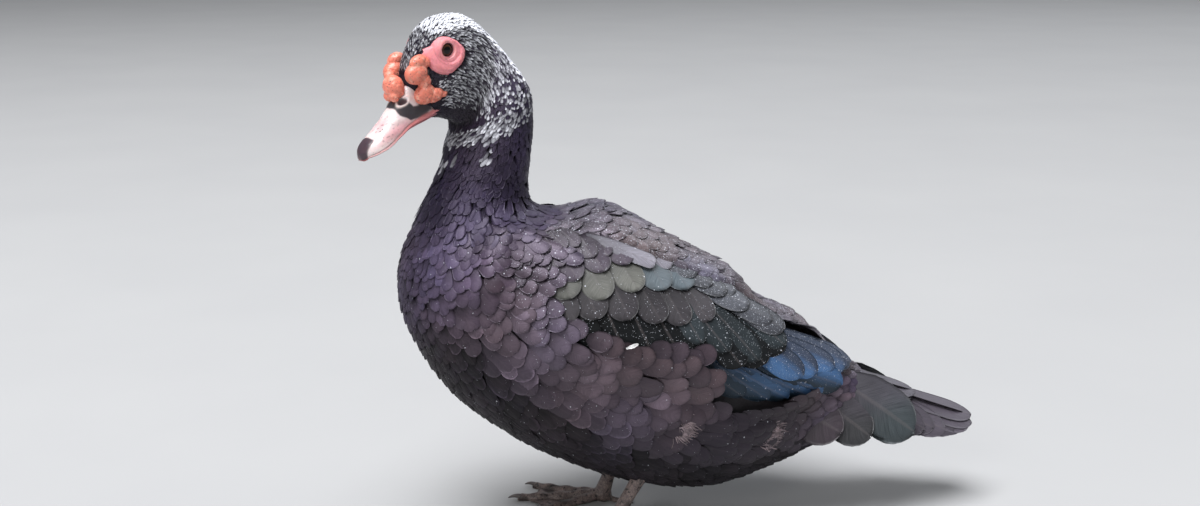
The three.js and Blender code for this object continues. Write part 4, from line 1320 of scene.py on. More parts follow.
def tail_frame(tier, share, side):
    """Where a tail feather starts and the ways it runs, spreads and faces."""
    turn = math.radians(tier["fan"] * share + 1) * side
    dip = math.radians(tier["drop"] + tier["more"] * share)
    aim = np.array([math.sin(turn) * math.cos(dip), math.cos(turn) * math.cos(dip), -math.sin(dip)])
    level = np.array([math.cos(turn), -math.sin(turn), 0.0])
    upright = np.cross(level, aim)
    roll = math.radians(tier["tent"] + tier["roll"] * share) * side
    across = level * math.cos(roll) - upright * math.sin(roll)
    height = TAIL_ROOT[1] + tier["rise"] - tier["fall"] * share - (TAIL_SHIFT if side < 0 else 0)
    root = np.array([side * (4 + tier["spread"] * share), TAIL_ROOT[0], height])
    return root, aim, across, np.cross(across, aim)


def straight_place(root, aim, across_way, face):
    """The place function of feathers that run straight from their roots."""
    given = (root, aim, across_way, face)
    root, aim, across_way, face = (np.array(part)[:, None, None, :] for part in given)

    def place(reach, aside, lift):
        points = root + aim * reach[..., None] + across_way * aside[..., None] + face * lift[..., None]
        return points, np.broadcast_to(face, points.shape)

    return place


def build_tail_tier(name, tier, material, context, seed):
    """The feathers of one tier of the tail."""
    rng = np.random.default_rng(seed)
    colours = context.scene.duck_colours
    shares = np.repeat(np.linspace(0, 1, tier["pairs"]), 2)
    sides = np.tile([LEFT, RIGHT], tier["pairs"])
    frames = [tail_frame(tier, share, side) for share, side in zip(shares, sides)]
    count = len(shares)
    length = tier["length"] * (1 - tier["shorter"] * shares**1.6)
    length = length * np.exp(rng.normal(0, tier["uneven"], count))
    spec = {
        "length": length,
        "width": tier["width"],
        "root": -1.5,
        "tip": 0.4 - 0.5 * (sides < 0) + rng.normal(0, 0.2, count),
        "bend": rng.normal(0, 0.01, count),
        "ragged": 0.5,
    }
    made = vanes(straight_place(*zip(*frames)), spec, "fine", tier["outline"])
    tone = wing_tone(tier["tone"], shares[:, None, None], made["along"], made["across"], colours)
    tint = shaded_tint(tone, made, rng, edge=0.2)
    places = root_places(20 + 2.6 * shares, sides * (0.2 + 0.9 * shares))
    return feather_object("tail_" + name, made, tint, places, material)


# Soft rounded feathers that hang over both sides of the tail's root, for the left side
SIDE_COVERTS = [
    {"root": (22, 208, 129), "tip": (45, 276, 84), "width": 52, "height": 1.5, "tone": "under_tail"},
    {"root": (30, 184, 118), "tip": (47, 232, 80), "width": 44, "height": 3.0, "tone": "side_coverts"},
    {"root": (36, 160, 112), "tip": (49, 203, 86), "width": 46, "height": 3.5, "tone": "flank"},
]
SIDE_FACE = np.array([0.86, -0.05, 0.5])


def build_side_coverts(material, context):
    """Rounded feathers over both sides of the tail's root."""
    rng = np.random.default_rng(90)
    colours = context.scene.duck_colours
    pairs = [(item, side) for item in SIDE_COVERTS for side in (LEFT, RIGHT)]
    root = np.array([item["root"] * np.array([side, 1, 1]) for item, side in pairs], float)
    tip = np.array([item["tip"] * np.array([side, 1, 1]) for item, side in pairs], float)
    length = np.linalg.norm(tip - root, axis=-1)
    aim = (tip - root) / length[:, None]
    face = np.array([SIDE_FACE * [side, 1, 1] for _, side in pairs])
    face -= aim * (face * aim).sum(axis=-1)[:, None]
    face /= np.linalg.norm(face, axis=-1)[:, None]
    place = straight_place(root, aim, np.cross(aim, face), face)
    count = len(pairs)
    spec = {
        "length": length,
        "width": np.array([item["width"] for item, _ in pairs]),
        "root": -3.0,
        "tip": np.array([item["height"] for item, _ in pairs]),
        "rise": 0.6,
        "curl": 0.3,
        "cup": 0.2,
        "bend": rng.normal(0, 0.02, count),
        "shaft": 0.2,
        "ragged": 1.2,
    }
    made = vanes(place, spec, "fine", "round")
    tone = np.array([tuple(getattr(colours, item["tone"])) for item, _ in pairs])[:, None, None, :]
    paler = 1 - ramp(made["along"] + 0.25 * made["across"], 0.35, 0.75)
    tone = towards(tone, colours.rectrices, 0.6 * paler)
    tint = shaded_tint(tone, made, rng, edge=0.25)
    sides = np.array([side for _, side in pairs])
    places = root_places(19 + np.arange(count) / 3, sides * 1.2)
    feather_object("tail_side_coverts", made, tint, places, material)


def build_tail(context):
    """The tail's tiers of feathers, in place of its solid."""
    material = feather_material(
        "Tail feathers", 120.0, 0.42, relief=0.4, contrast=0.35, Specular_IOR_Level=0.55
    )
    made = [
        build_tail_tier(name, tier, material, context, 70 + index)
        for index, (name, tier) in enumerate(TAIL_TIERS.items())
    ]
    build_side_coverts(material, context)
    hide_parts("tail")


# Solid shapes that are fused into one mesh


def ball(at, radii, axes=None, rings=24):
    """An egg as points and faces, its axes along the rows of axes."""
    axes = np.eye(3) if axes is None else axes
    columns = 2 * rings
    polars = np.linspace(0.02, math.pi - 0.02, rings)
    turns = np.linspace(0, 2 * math.pi, columns, endpoint=False)
    polar, turn = crossed(polars, turns)
    local = np.stack([np.sin(polar) * np.cos(turn), np.sin(polar) * np.sin(turn), np.cos(polar)], axis=-1)
    points = np.array(at) + (local.reshape(-1, 3) * np.array(radii)) @ axes
    return points, tube_faces(rings, columns)


def tube(path, radii, sides):
    """A round bar along a path, closed at both ends."""
    path, radii = np.array(path, float), np.array(radii, float)
    ways = np.gradient(path, axis=0)
    ways /= np.linalg.norm(ways, axis=-1, keepdims=True)
    level = np.cross(ways, [0, 0, 1.0])
    level[np.linalg.norm(level, axis=-1) < 0.2] = [1, 0, 0]
    level /= np.linalg.norm(level, axis=-1, keepdims=True)
    rise = np.cross(level, ways)
    turn = np.linspace(0, 2 * math.pi, sides, endpoint=False)[None, :, None]
    spread = level[:, None] * np.cos(turn) + rise[:, None] * np.sin(turn)
    points = (path[:, None] + spread * radii[:, None, None]).reshape(-1, 3)
    return points, tube_faces(len(path), sides)


def gathered(shapes):
    """Several shapes as one list of points and faces."""
    points, faces, start = [], [], 0
    for shape_points, shape_faces in shapes:
        points.append(shape_points)
        faces += [face + start for face in shape_faces]
        start += len(shape_points)
    return np.concatenate(points), faces


def fused(name, shapes, grain, rounds, material):
    """One closed mesh round several shapes, its joints softened."""
    points, faces = gathered(shapes)
    obj = new_object(name, points, faces, material)
    remesh = obj.modifiers.new("Fuse", "REMESH")
    remesh.mode = "VOXEL"
    remesh.voxel_size = grain * MM
    remesh.use_smooth_shade = True
    soften = obj.modifiers.new("Soften", "SMOOTH")
    soften.factor = 0.5
    soften.iterations = rounds
    bpy.context.view_layer.update()
    seen = obj.evaluated_get(bpy.context.evaluated_depsgraph_get())
    mesh = bpy.data.meshes.new_from_object(seen)
    obj.modifiers.clear()
    obj.data = mesh
    mesh.polygons.foreach_set("use_smooth", np.full(len(mesh.polygons), True))
    if not mesh.materials:
        mesh.materials.append(material)
    return obj


def mesh_points(obj):
    """A mesh's points in the bird's own millimetres."""
    points = np.empty(len(obj.data.vertices) * 3, np.float32)
    obj.data.vertices.foreach_get("co", points)
    return (points.reshape(-1, 3).astype(float) - SHIFT) / MM


def set_points(obj, points):
    obj.data.vertices.foreach_set("co", in_frame(points).astype(np.float32).ravel())
    obj.data.update()


def point_normals(obj):
    normals = np.empty(len(obj.data.vertices) * 3, np.float32)
    obj.data.vertex_normals.foreach_get("vector", normals)
    return normals.reshape(-1, 3).astype(float)


# How many waves are added up, and what brings their sum to about 1
WAVE_COUNT = 14
WAVE_HEIGHT = 3.8


def waves(points, size, seed):
    """A smooth random field between about -1 and 1, with features of a given size."""
    rng = np.random.default_rng(seed)
    total = np.zeros(len(points))
    for _ in range(WAVE_COUNT):
        way = rng.normal(size=3)
        way /= np.linalg.norm(way)
        total += np.sin(points @ way * 2 * math.pi / (size * rng.uniform(0.7, 1.5)) + rng.uniform(0, 6.3))
    return total / WAVE_HEIGHT


def spot(place, at, radii):
    """1 at the middle of a soft spot in the head's frame, and 0 well outside it."""
    away = (place - np.array(at)) / np.array(radii)
    return np.exp(-(away**2).sum(axis=-1))


HEAD_AXES = np.array([HEAD_AHEAD, HEAD_LEFT, HEAD_UP])

# Bill
CULMEN = [(-2, 30), (14, 29), (27, 23.5), (36, 18), (48, 12.5), (60, 8.5), (69, 5.5), (75, 1.5), (76, 0)]
MOUTH = [(-2, 0), (12, 0.5), (28, 1.5), (42, -0.5), (54, -2.5), (64, -2.5), (72, -2.5), (76, -4)]
BILL_HALF = [
    (-2, 13), (14, 13), (28, 12.8), (44, 13.6), (56, 14), (64, 12.6), (70, 9.5), (74, 5.5), (76, 2.5),
]
LOWER_DEPTH = [(-2, 4.2), (20, 3.2), (45, 2.2), (62, 1.8), (72, 1.4), (74, 1)]
NOSTRIL = {"at": (23.5, 7.2, 21), "radii": (4.2, 2.4, 2.2)}


def fleshy_material(name, mottle, contrast, grain, relief, **constants):
    """Living skin or horn in the colours that it carries, mottled and softly bumpy."""
    material, tree, shader = new_material(name, **constants)
    flesh = group_node(tree, "Muscovy flesh", Mottle=mottle, Contrast=contrast, Grain=grain).outputs
    tinted(tree, shader, flesh["Shade"])
    bumped(tree, shader, flesh["Height"], relief, 0.0005)
    return material


# The blue-black patch of the bill under and behind the nostril, seen from the side: ahead and up
DARK_BAND = [
    (34, 25), (33, 14), (26, 6.5), (14, 3.2), (4, 4), (3.5, 9), (11, 13), (19, 14.5), (24, 27), (30, 31),
]


def dark_band(place):
    """Millimetres inside the bill's dark patch, and below 0 outside it."""
    corners = np.array(DARK_BAND, float)
    at = place[:, [0, 2]]
    inside = np.zeros(len(at), bool)
    nearest = np.full(len(at), 99.0)
    for a, b in zip(corners, np.roll(corners, -1, axis=0)):
        along = np.clip(((at - a) @ (b - a)) / ((b - a) @ (b - a)), 0, 1)
        nearest = np.minimum(nearest, np.linalg.norm(at - a - along[:, None] * (b - a), axis=-1))
        crosses = (a[1] > at[:, 1]) != (b[1] > at[:, 1])
        cut = a[0] + (at[:, 1] - a[1]) / np.where(crosses, b[1] - a[1], 1) * (b[0] - a[0])
        inside ^= crosses & (at[:, 0] < cut)
    return np.where(inside, nearest, -nearest) + 0.5 * waves(place, 7, 14)


BILL_ROWS = 150
LOWER_BILL_AROUND = 72


def build_upper_bill(colours, shine):
    """Upper bill with nostrils and nail."""
    rows, columns = BILL_ROWS, 97
    turns = np.linspace(-math.pi / 2, math.pi / 2, columns)
    ahead, turn = crossed(np.linspace(-6, 76, rows), turns)
    half, culmen, mouth = through(BILL_HALF, ahead), through(CULMEN, ahead), through(MOUTH, ahead)
    height = np.maximum(culmen - mouth, 1.2)
    left = half * power(np.sin(turn), 0.8)
    up = mouth + height * np.cos(turn) ** 0.9
    place = point_list(ahead, left, up)
    centre = point_list(ahead, 0 * left, mouth + 0.3 * height)
    outward = place - centre
    outward /= np.linalg.norm(outward, axis=-1, keepdims=True)
    folded = place * [1, 0, 1] + np.abs(place[:, 1:2]) * [0, 1, 0]
    nostril_reach = np.sqrt(egg_value(place, NOSTRIL))
    lift = 0.9 * bell(nostril_reach, 1.5, 0.45) - 2.6 * (1 - ramp(nostril_reach, 0.5, 1.25))
    lift += 0.18 * waves(place, 9, 5)
    tomium = np.abs(turn).ravel() / (math.pi / 2)
    lift += 0.6 * ramp(tomium, 0.955, 0.98) - 0.5 * bell(tomium, 0.945, 0.014)
    nail = ramp(place[:, 0], 60.5, 63) * (1 - ramp(np.abs(place[:, 1]), 5.8, 7.6))
    lift += 0.9 * nail
    place = place + outward * lift[:, None]
    points = in_head(*place.T)
    tone = even(colours.bill, place)
    tone = towards(tone, colours.bill_pink, 0.75 * spot(folded, (40, 13, 5), (22, 6, 5)))
    tone = towards(tone, colours.bill_pink, 0.6 * spot(folded, (50, 3, 13), (10, 4, 5)))
    band = ramp(dark_band(folded), -0.6, 0.6)
    tone = towards(tone, colours.bill_dark, 0.95 * band)
    # Painted shade inside the nostril's hollow
    tone = towards(tone, (0.10, 0.055, 0.06), 0.95 * (1 - ramp(nostril_reach, 0.9, 1.3)))
    tone = towards(tone, (0.78, 0.64, 0.6), 0.95 * bell(nostril_reach, 1.6, 0.3))
    tone = towards(tone, colours.bill_nail, nail)
    flecks = ramp(waves(place, 2.6, 8), 0.95, 1.2)
    near_nail = 0.35 * ramp(place[:, 0], 30, 42) + spot(folded, (54, 4, 9), (7, 6, 7))
    tone = towards(tone, colours.bill_dark, 0.8 * flecks * near_nail)
    cutting = ramp(tomium, 0.945, 0.96)
    cutting = cutting * (1 - 0.5 * ramp(place[:, 0], 20, 60))
    tone = towards(tone, np.array(colours.bill_pink) * [0.95, 0.6, 0.55], 0.85 * cutting)
    tone = towards(tone, (0.25, 0.08, 0.07), 0.7 * bell(tomium, 0.945, 0.012))
    ring = np.arange(columns)
    floor = np.array([0, columns - 1, 2 * columns - 1, columns]) + columns * np.arange(rows - 1)[:, None]
    faces = [*grid_faces(rows, columns)[:, ::-1], ring, ring[::-1] + (rows - 1) * columns, *floor]
    upper = new_object("bill_upper", points, faces, shine)
    add_tint(upper.data, tone)
    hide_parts("bill_upper", "bill_nail")


def build_lower_bill(colours, shine):
    """Lower bill, a flat tube whose upper side follows the mouth."""
    rows = BILL_ROWS
    turns = np.linspace(-math.pi, math.pi, LOWER_BILL_AROUND, endpoint=False)
    ahead, turn = crossed(np.linspace(-6, 74, rows), turns)
    half = np.maximum(through(BILL_HALF, ahead) - 2.2, 0.8)
    mouth, depth = through(MOUTH, ahead) - 0.4, through(LOWER_DEPTH, ahead)
    left = half * power(np.sin(turn), 0.8)
    up = mouth - 0.5 * depth - 0.5 * depth * power(np.cos(turn), 0.8)
    place = point_list(ahead, left, up)
    tone = even(np.array(colours.bill_pink) * 0.6, place)
    tone = towards(tone, colours.bill_dark, 0.5 * ramp(waves(place, 8, 9), 0.6, 1.2))
    faces = tube_faces(rows, LOWER_BILL_AROUND)
    lower = new_object("bill_lower", in_head(*place.T), faces, shine)
    add_tint(lower.data, tone)
    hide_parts("bill_lower")


def build_bill(context):
    """Both halves of the bill, in place of their solids."""
    colours = context.scene.duck_colours
    shine = fleshy_material(
        "Bill", 90.0, 0.12, 900.0, 0.12, Roughness=0.34, Specular_IOR_Level=0.5,
        Subsurface_Weight=0.08, Subsurface_Scale=0.003
    )
    build_upper_bill(colours, shine)
    build_lower_bill(colours, shine)


def head_egg(lump, side=1):
    at = lump["at"]
    return ball(in_head(at[0], at[1] * side, at[2]), lump["radii"], HEAD_AXES)


def warty(name, shapes, material, colours, seed, red):
    """Fused lumps of bare flesh, wrinkled and flecked."""
    obj = fused(name, shapes, 0.45, 5, material)
    points, normals = mesh_points(obj), point_normals(obj)
    before = points.copy()
    creases = np.abs(waves(points, 9.5, seed))
    relief = 0.2 * ramp(creases, 0, 0.35) + 0.07 * waves(points, 2.2, seed + 1)
    relief += 0.12 * waves(points, 8, seed + 4)
    set_points(obj, points + normals * (relief - 0.1)[:, None])
    tone = even(np.array(colours.caruncle) * red, points)
    # Painted shade in the creases between the lobes
    tone = towards(tone, colours.painted_crease_shade, 0.4 * (1 - ramp(creases, 0, 0.14)))
    tone = towards(tone, colours.caruncle_pale, 0.5 * ramp(waves(before, 5, seed + 2), 0.3, 1.2))
    flecks = ramp(waves(before, 1.7, seed + 3), 1.35, 1.5)
    tone = towards(tone, (0.03, 0.012, 0.015), 0.8 * flecks)
    add_tint(obj.data, tone)
    return obj


def build_caruncles(context):
    """The knob on the bill's root and the lumps beside it, in place of their solids."""
    colours = context.scene.duck_colours
    material = fleshy_material(
        "Caruncles", 200.0, 0.13, 520.0, 0.3, Roughness=0.36, Specular_IOR_Level=0.55,
        Subsurface_Weight=0.12, Subsurface_Scale=0.003
    )
    knob = warty("knob", [head_egg(lump) for lump in KNOB_LUMPS], material, colours, 11, 1.0)
    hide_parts("caruncle_knob")
    for side in (LEFT, RIGHT):
        shapes = [head_egg(lump, side) for lump in SIDE_LUMPS]
        obj = warty("lumps_" + SIDES[side], shapes, material, colours, 20 + side, 0.9)
        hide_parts("caruncles_" + SIDES[side])


# Face
LID_PROFILE = [(5.5, 5.05), (5.8, 5.9), (6.4, 6.35), (7.2, 6.3), (8.2, 6.0), (9.5, 5.6), (12.0, 5.0)]


def head_side_tree():
    """The bare head's left side, for finding how far out it lies."""
    t, angle = crossed(np.linspace(0, 6, 90), np.linspace(0.05, math.pi - 0.05, 60))
    place = head_place(bare_point(t, angle)).reshape(-1, 3)
    return BVHTree.FromPolygons([Vector(point) for point in place], grid_faces(90, 60).tolist())


FACE_ROWS = 64
FACE_AROUND = 160


def face_surface():
    """Left bare patch: places in the head's frame, their distance from the eye's middle and its folds."""
    tree = head_side_tree()
    turns = np.linspace(-math.pi, math.pi, FACE_AROUND, endpoint=False)
    share, turn = crossed(np.linspace(0, 1, FACE_ROWS), turns)
    edge = through(PATCH_EDGE, np.degrees(turn))
    reach = LID_PROFILE[0][0] + (edge - LID_PROFILE[0][0]) * share**1.25
    squeeze = 1 - 0.12 * (1 - ramp(reach, 5, 8)) * np.abs(np.sin(turn))
    ahead = EYE_AT[0] + reach * np.cos(turn)
    up = EYE_AT[2] + reach * squeeze * np.sin(turn)
    out = np.empty(ahead.size)
    for index, (x, z) in enumerate(zip(ahead.ravel(), up.ravel())):
        hit = tree.ray_cast(Vector((x, 60, z)), Vector((0, -1, 0)))[0]
        out[index] = hit[1] if hit else 10.0
    out = out.reshape(ahead.shape)
    lift = 1.7 * (1 - ramp(share, 0.72, 1)) - 1.2 * ramp(share, 0.9, 1)
    flat = out + lift
    least = out + 0.4 - 3 * (1 - ramp(reach, 6.2, 7.4)) - 1.6 * ramp(share, 0.9, 1)
    lid = EYE_AT[1] + through(LID_PROFILE, reach)
    lid_share = 1 - ramp(reach, 7.4, 12.5)
    out = flat + (lid - flat) * lid_share
    folds = np.sin(reach * 2.6 + 1.6 * np.sin(turn * 2 + 1)) * bell(reach, 10.5, 2.6)
    place = point_list(ahead, out, up)
    out = out + 0.035 * folds + 0.16 * waves(place, 4.5, 31).reshape(out.shape) * ramp(reach, 8, 11)
    return ahead, np.maximum(out, least), up, reach, folds


def build_face(context):
    """The bare patch round each eye with its lids, in place of their solids."""
    colours = context.scene.duck_colours
    material = fleshy_material(
        "Bare face skin", 130.0, 0.16, 700.0, 0.3, Roughness=0.48, Specular_IOR_Level=0.45,
        Subsurface_Weight=0.12, Subsurface_Scale=0.003
    )
    ahead, out, up, reach, folds = face_surface()
    rows, columns = FACE_ROWS, FACE_AROUND
    for side in (LEFT, RIGHT):
        place = point_list(ahead, side * out, up)
        back = point_list(ahead, side * (out - 2.2), up)
        top = grid_faces(rows, columns, wrap=True)
        size = rows * columns
        ring = np.arange(columns)
        inner = np.stack([ring, np.roll(ring, -1), np.roll(ring, -1) + size, ring + size], axis=-1)
        outer = inner + (rows - 1) * columns
        faces = np.concatenate([top, top[:, ::-1] + size, inner[:, ::-1], outer])
        if side == LEFT:
            faces = faces[:, ::-1]
        tone = even(colours.face_skin, place)
        r = reach.ravel()
        tone = towards(tone, colours.face_pale, 0.35 * bell(r, 7.2, 0.9))
        tone = towards(tone, (0.05, 0.02, 0.02), 0.85 * (1 - ramp(r, 5.7, 6.5)))
        tone = towards(tone, colours.caruncle, 0.22 * ramp(waves(place, 9, 33), -0.2, 1.4))
        # Painted shade in the troughs of the skin's folds
        tone = towards(tone, colours.painted_crease_shade, 0.2 * ramp(-folds.ravel(), 0.1, 0.8))
        points = np.concatenate([in_head(*place.T), in_head(*back.T)])
        obj = new_object("face_" + SIDES[side], points, faces, material)
        add_tint(obj.data, np.concatenate([tone, tone]))
        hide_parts("face_patch_" + SIDES[side])


# Where the left eye looks, in the head's frame
GAZE = np.array([0.16, 1, 0.02])


def eye_material():
    """A dark pupil and iris in rings round the line of sight, under a clear gloss."""
    material, tree, shader = new_material("Eye", Roughness=0.06, Specular_IOR_Level=0.28)
    rings = tree.nodes.new("ShaderNodeValToRGB")
    stops = [
        (0.0, (0.003, 0.003, 0.003, 1)), (0.4, (0.003, 0.003, 0.003, 1)), (0.43, (0.03, 0.012, 0.006, 1)),
        (0.6, (0.07, 0.026, 0.011, 1)), (0.72, (0.015, 0.007, 0.005, 1)), (1.0, (0.006, 0.004, 0.004, 1)),
    ]
    for _ in range(len(stops) - 2):
        rings.color_ramp.elements.new(0.5)
    for element, (position, colour) in zip(rings.color_ramp.elements, stops):
        element.position = position
        element.color = colour
    tree.links.new(tint_of(tree)["Alpha"], rings.inputs[0])
    specks = noise(tree, 1500.0, 3.0, Vector=object_place(tree))
    tinted(tree, shader, ranged(tree, specks, 0.3, 0.7, 0.7, 1.3), rings.outputs[0])
    return material


def build_eyes(context):
    """Both eyeballs, in place of their solids."""
    material = eye_material()
    for side in (LEFT, RIGHT):
        looks = GAZE * [1, side, 1] / np.linalg.norm(GAZE)
        centre = in_head(EYE_AT[0], side * EYE_AT[1], EYE_AT[2])
        points, faces = ball(centre, (EYE_RADIUS,) * 3, HEAD_AXES, rings=48)
        away = head_place(points) - head_place(centre)
        angle = np.arccos(np.clip(away @ looks / EYE_RADIUS, -1, 1))
        obj = new_object("eyeball_" + SIDES[side], points, faces, material)
        tone = np.zeros((len(points), 4))
        tone[:, 3] = np.clip(angle, 0, 1)
        add_tint(obj.data, tone)
        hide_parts("eye_" + SIDES[side])


# Legs
ANKLE_AT = np.array([38.0, 30.0, 60.0])
RIGHT_ANKLE_SHIFT = -8
SHANK_RADII = [7.4, 6.6, 6, 6.2, 7.4]
FOOT_AT = {LEFT: (40, -4), RIGHT: (-40, 3)}
SOLE_TURN = math.radians(8)
TOE_LENGTH = 80
TOES = [
    {"name": "inner", "turn": 24, "length": 0.8, "radius": 4.8, "joints": 3},
    {"name": "middle", "turn": -2, "length": 1, "radius": 5.2, "joints": 4},
    {"name": "outer", "turn": -27, "length": 0.92, "radius": 4.8, "joints": 4},
]
HIND_TOE = {"name": "hind", "turn": 158, "length": 0.27, "radius": 3.4, "joints": 1}
TOE_ARCH = 4
WEB_NOTCH = 0.36
WEB_REACH = 0.93


def toe_point(side, turn, reach, up):
    """A point over the floor at a reach along a toe that is turned from straight ahead."""
    turn = math.radians(turn)
    ahead = math.cos(turn) * reach
    outward = -math.sin(turn) * reach
    x, y = FOOT_AT[side]
    sole = SOLE_TURN * side
    return np.array(
        [
            x + math.sin(sole) * ahead + math.cos(sole) * outward * side,
            y - math.cos(sole) * ahead + math.sin(sole) * outward * side,
            up,
        ]
    )


def toe_shape(side, spec):
    """A jointed toe with a pad under each joint."""
    length = TOE_LENGTH * spec["length"]
    shares = np.linspace(0, 1, 40)
    joints = 0.07 * np.cos(shares * spec["joints"] * 2 * math.pi)
    radii = spec["radius"] * (1 - 0.3 * shares + joints) * np.where(shares > 0.97, 0.75, 1)
    heights = 0.8 * radii + TOE_ARCH * (1 - shares) ** 3
    path = [toe_point(side, spec["turn"], s * length, up) for s, up in zip(shares, heights)]
    return tube(path, radii, 20)


def claw_shape(side, spec):
    length = TOE_LENGTH * spec["length"]
    radius = spec["radius"] * 0.7
    shares = np.linspace(0, 1, 16)
    path, radii = [], []
    for s in shares:
        up = radius * 0.95 + 1.6 * math.sin(s * 2.4) - 2.2 * s * s
        path.append(toe_point(side, spec["turn"], length - 4 + 13 * s, max(up, 0.7)))
        radii.append(radius * 0.62 * (1 - s) ** 0.7 + 0.35)
    return tube(path, radii, 20)


def web_shape(side, a, b):
    """Skin stretched between two toes."""
    rows, columns = 30, 20
    upper, lower = [], []
    for share in np.linspace(0, 1, rows):
        for c in np.linspace(0, 1, columns):
            edge = TOE_LENGTH * lerp((a["length"], b["length"]), c) * (WEB_REACH - WEB_NOTCH * c * (1 - c))
            reach = 6 + (edge - 6) * share
            sag = 1 - 0.5 * math.sin(math.pi * c) ** 0.7
            ripple = 0.35 * math.sin(reach * 0.5 + 3 * c)
            up = 1.0 + 1.2 * sag + ripple + TOE_ARCH * (1 - share) ** 3
            at = toe_point(side, lerp((a["turn"], b["turn"]), c), reach, 0)
            upper.append(at + [0, 0, up + 0.8])
            lower.append(at + [0, 0, max(up - 0.8, 0.2)])
    return np.array(upper + lower), slab_faces(rows, columns)


def shank_shape(side):
    x, y = FOOT_AT[side]
    top = ANKLE_AT * [side, 1, 1] + [0, RIGHT_ANKLE_SHIFT if side < 0 else 0, 6]
    bottom = np.array([x, y, 9.0])
    shares = np.linspace(0, 1, 30)
    radii = through(list(zip(np.linspace(0, 1, 5), SHANK_RADII)), shares)
    return tube([top + (bottom - top) * s for s in shares], radii, 24)


def leg_material():
    """Scales with darker seams, blotches and flecks."""
    material, tree, shader = new_material("Leg scales", Roughness=0.46, Specular_IOR_Level=0.5)
    place = object_place(tree)
    cells = put(tree, "ShaderNodeTexVoronoi", Vector=place, Scale=420.0, feature="DISTANCE_TO_EDGE")
    seam = ranged(tree, cells.outputs["Distance"], 0.0, 0.12, 0.45, 1.0)
    blotch = noise(tree, 160.0, 4.0, Vector=place)
    shade = maths(tree, "MULTIPLY", seam, ranged(tree, blotch, 0.3, 0.7, 0.6, 1.35))
    flecks = noise(tree, 260.0, 2.0, Vector=place)
    dark = ranged(tree, flecks, 0.58, 0.64, 1.0, 0.2)
    tinted(tree, shader, maths(tree, "MULTIPLY", shade, dark))
    bumped(tree, shader, seam, 0.5, 0.0004)
    return material


def build_legs(context):
    """Shanks, webbed feet and claws, in place of their solids."""
    colours = context.scene.duck_colours
    scales = leg_material()
    horn = fleshy_material("Claws", 300.0, 0.3, 900.0, 0.2, Roughness=0.4)
    for side in (LEFT, RIGHT):
        name = SIDES[side]
        shapes = [toe_shape(side, spec) for spec in TOES + [HIND_TOE]]
        shapes += [web_shape(side, TOES[0], TOES[1]), web_shape(side, TOES[1], TOES[2])]
        shapes += [ball(toe_point(side, 0, 0, 7), (8.6, 8.6, 8.2)), shank_shape(side)]
        foot = fused("leg_" + name, shapes, 0.75, 4, scales)
        points = mesh_points(foot)
        points[:, 2] = np.maximum(points[:, 2], 0)
        set_points(foot, points)
        tone = even(colours.leg, points)
        muddy = ramp(waves(points, 16, 50 + side), 0.1, 1.1)
        tone = towards(tone, np.array(colours.leg) * 0.35, muddy)
        add_tint(foot.data, tone)
        points, faces = gathered([claw_shape(side, spec) for spec in TOES + [HIND_TOE]])
        claws = new_object("claws_" + name, points, faces, horn)
        tone = even(colours.claw, points)
        add_tint(claws.data, tone)
        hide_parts("shank_" + name, "foot_" + name)


# Stage
CAMERA_AT = np.array([1262.8, -229.2, 549.6])
CAMERA_AHEAD = np.array([-0.9588, 0.1691, -0.2284])
CAMERA_RIGHT = np.array([0.1736, 0.9848, 0.0])
CAMERA_LENS = 45
CAMERA_SENSOR = 36
FLOOR_HALF = 60
FLOOR_TONES = [(0.42, 0.42, 0.42, 1), (0.46, 0.46, 0.455, 1)]
SKY_TONE = (0.86, 0.89, 0.95, 1)
SKY_STRENGTH = 0.23
# Name, place in metres, power, size and colour, all turned to a point inside the duck
LIGHTS = [
    ("sky_light", (1.6, -1.6, 7.3), 950.0, 5.0, (0.96, 0.97, 1.0)),
    ("side_light", (7.2, -5.4, 4.4), 190.0, 3.0, (1.0, 0.99, 0.97)),
    ("rear_light", (-4.8, 4.8, 5.6), 150.0, 4.2, (0.92, 0.95, 1.0)),
]
LIT_POINT = (0, 0, 0.25)


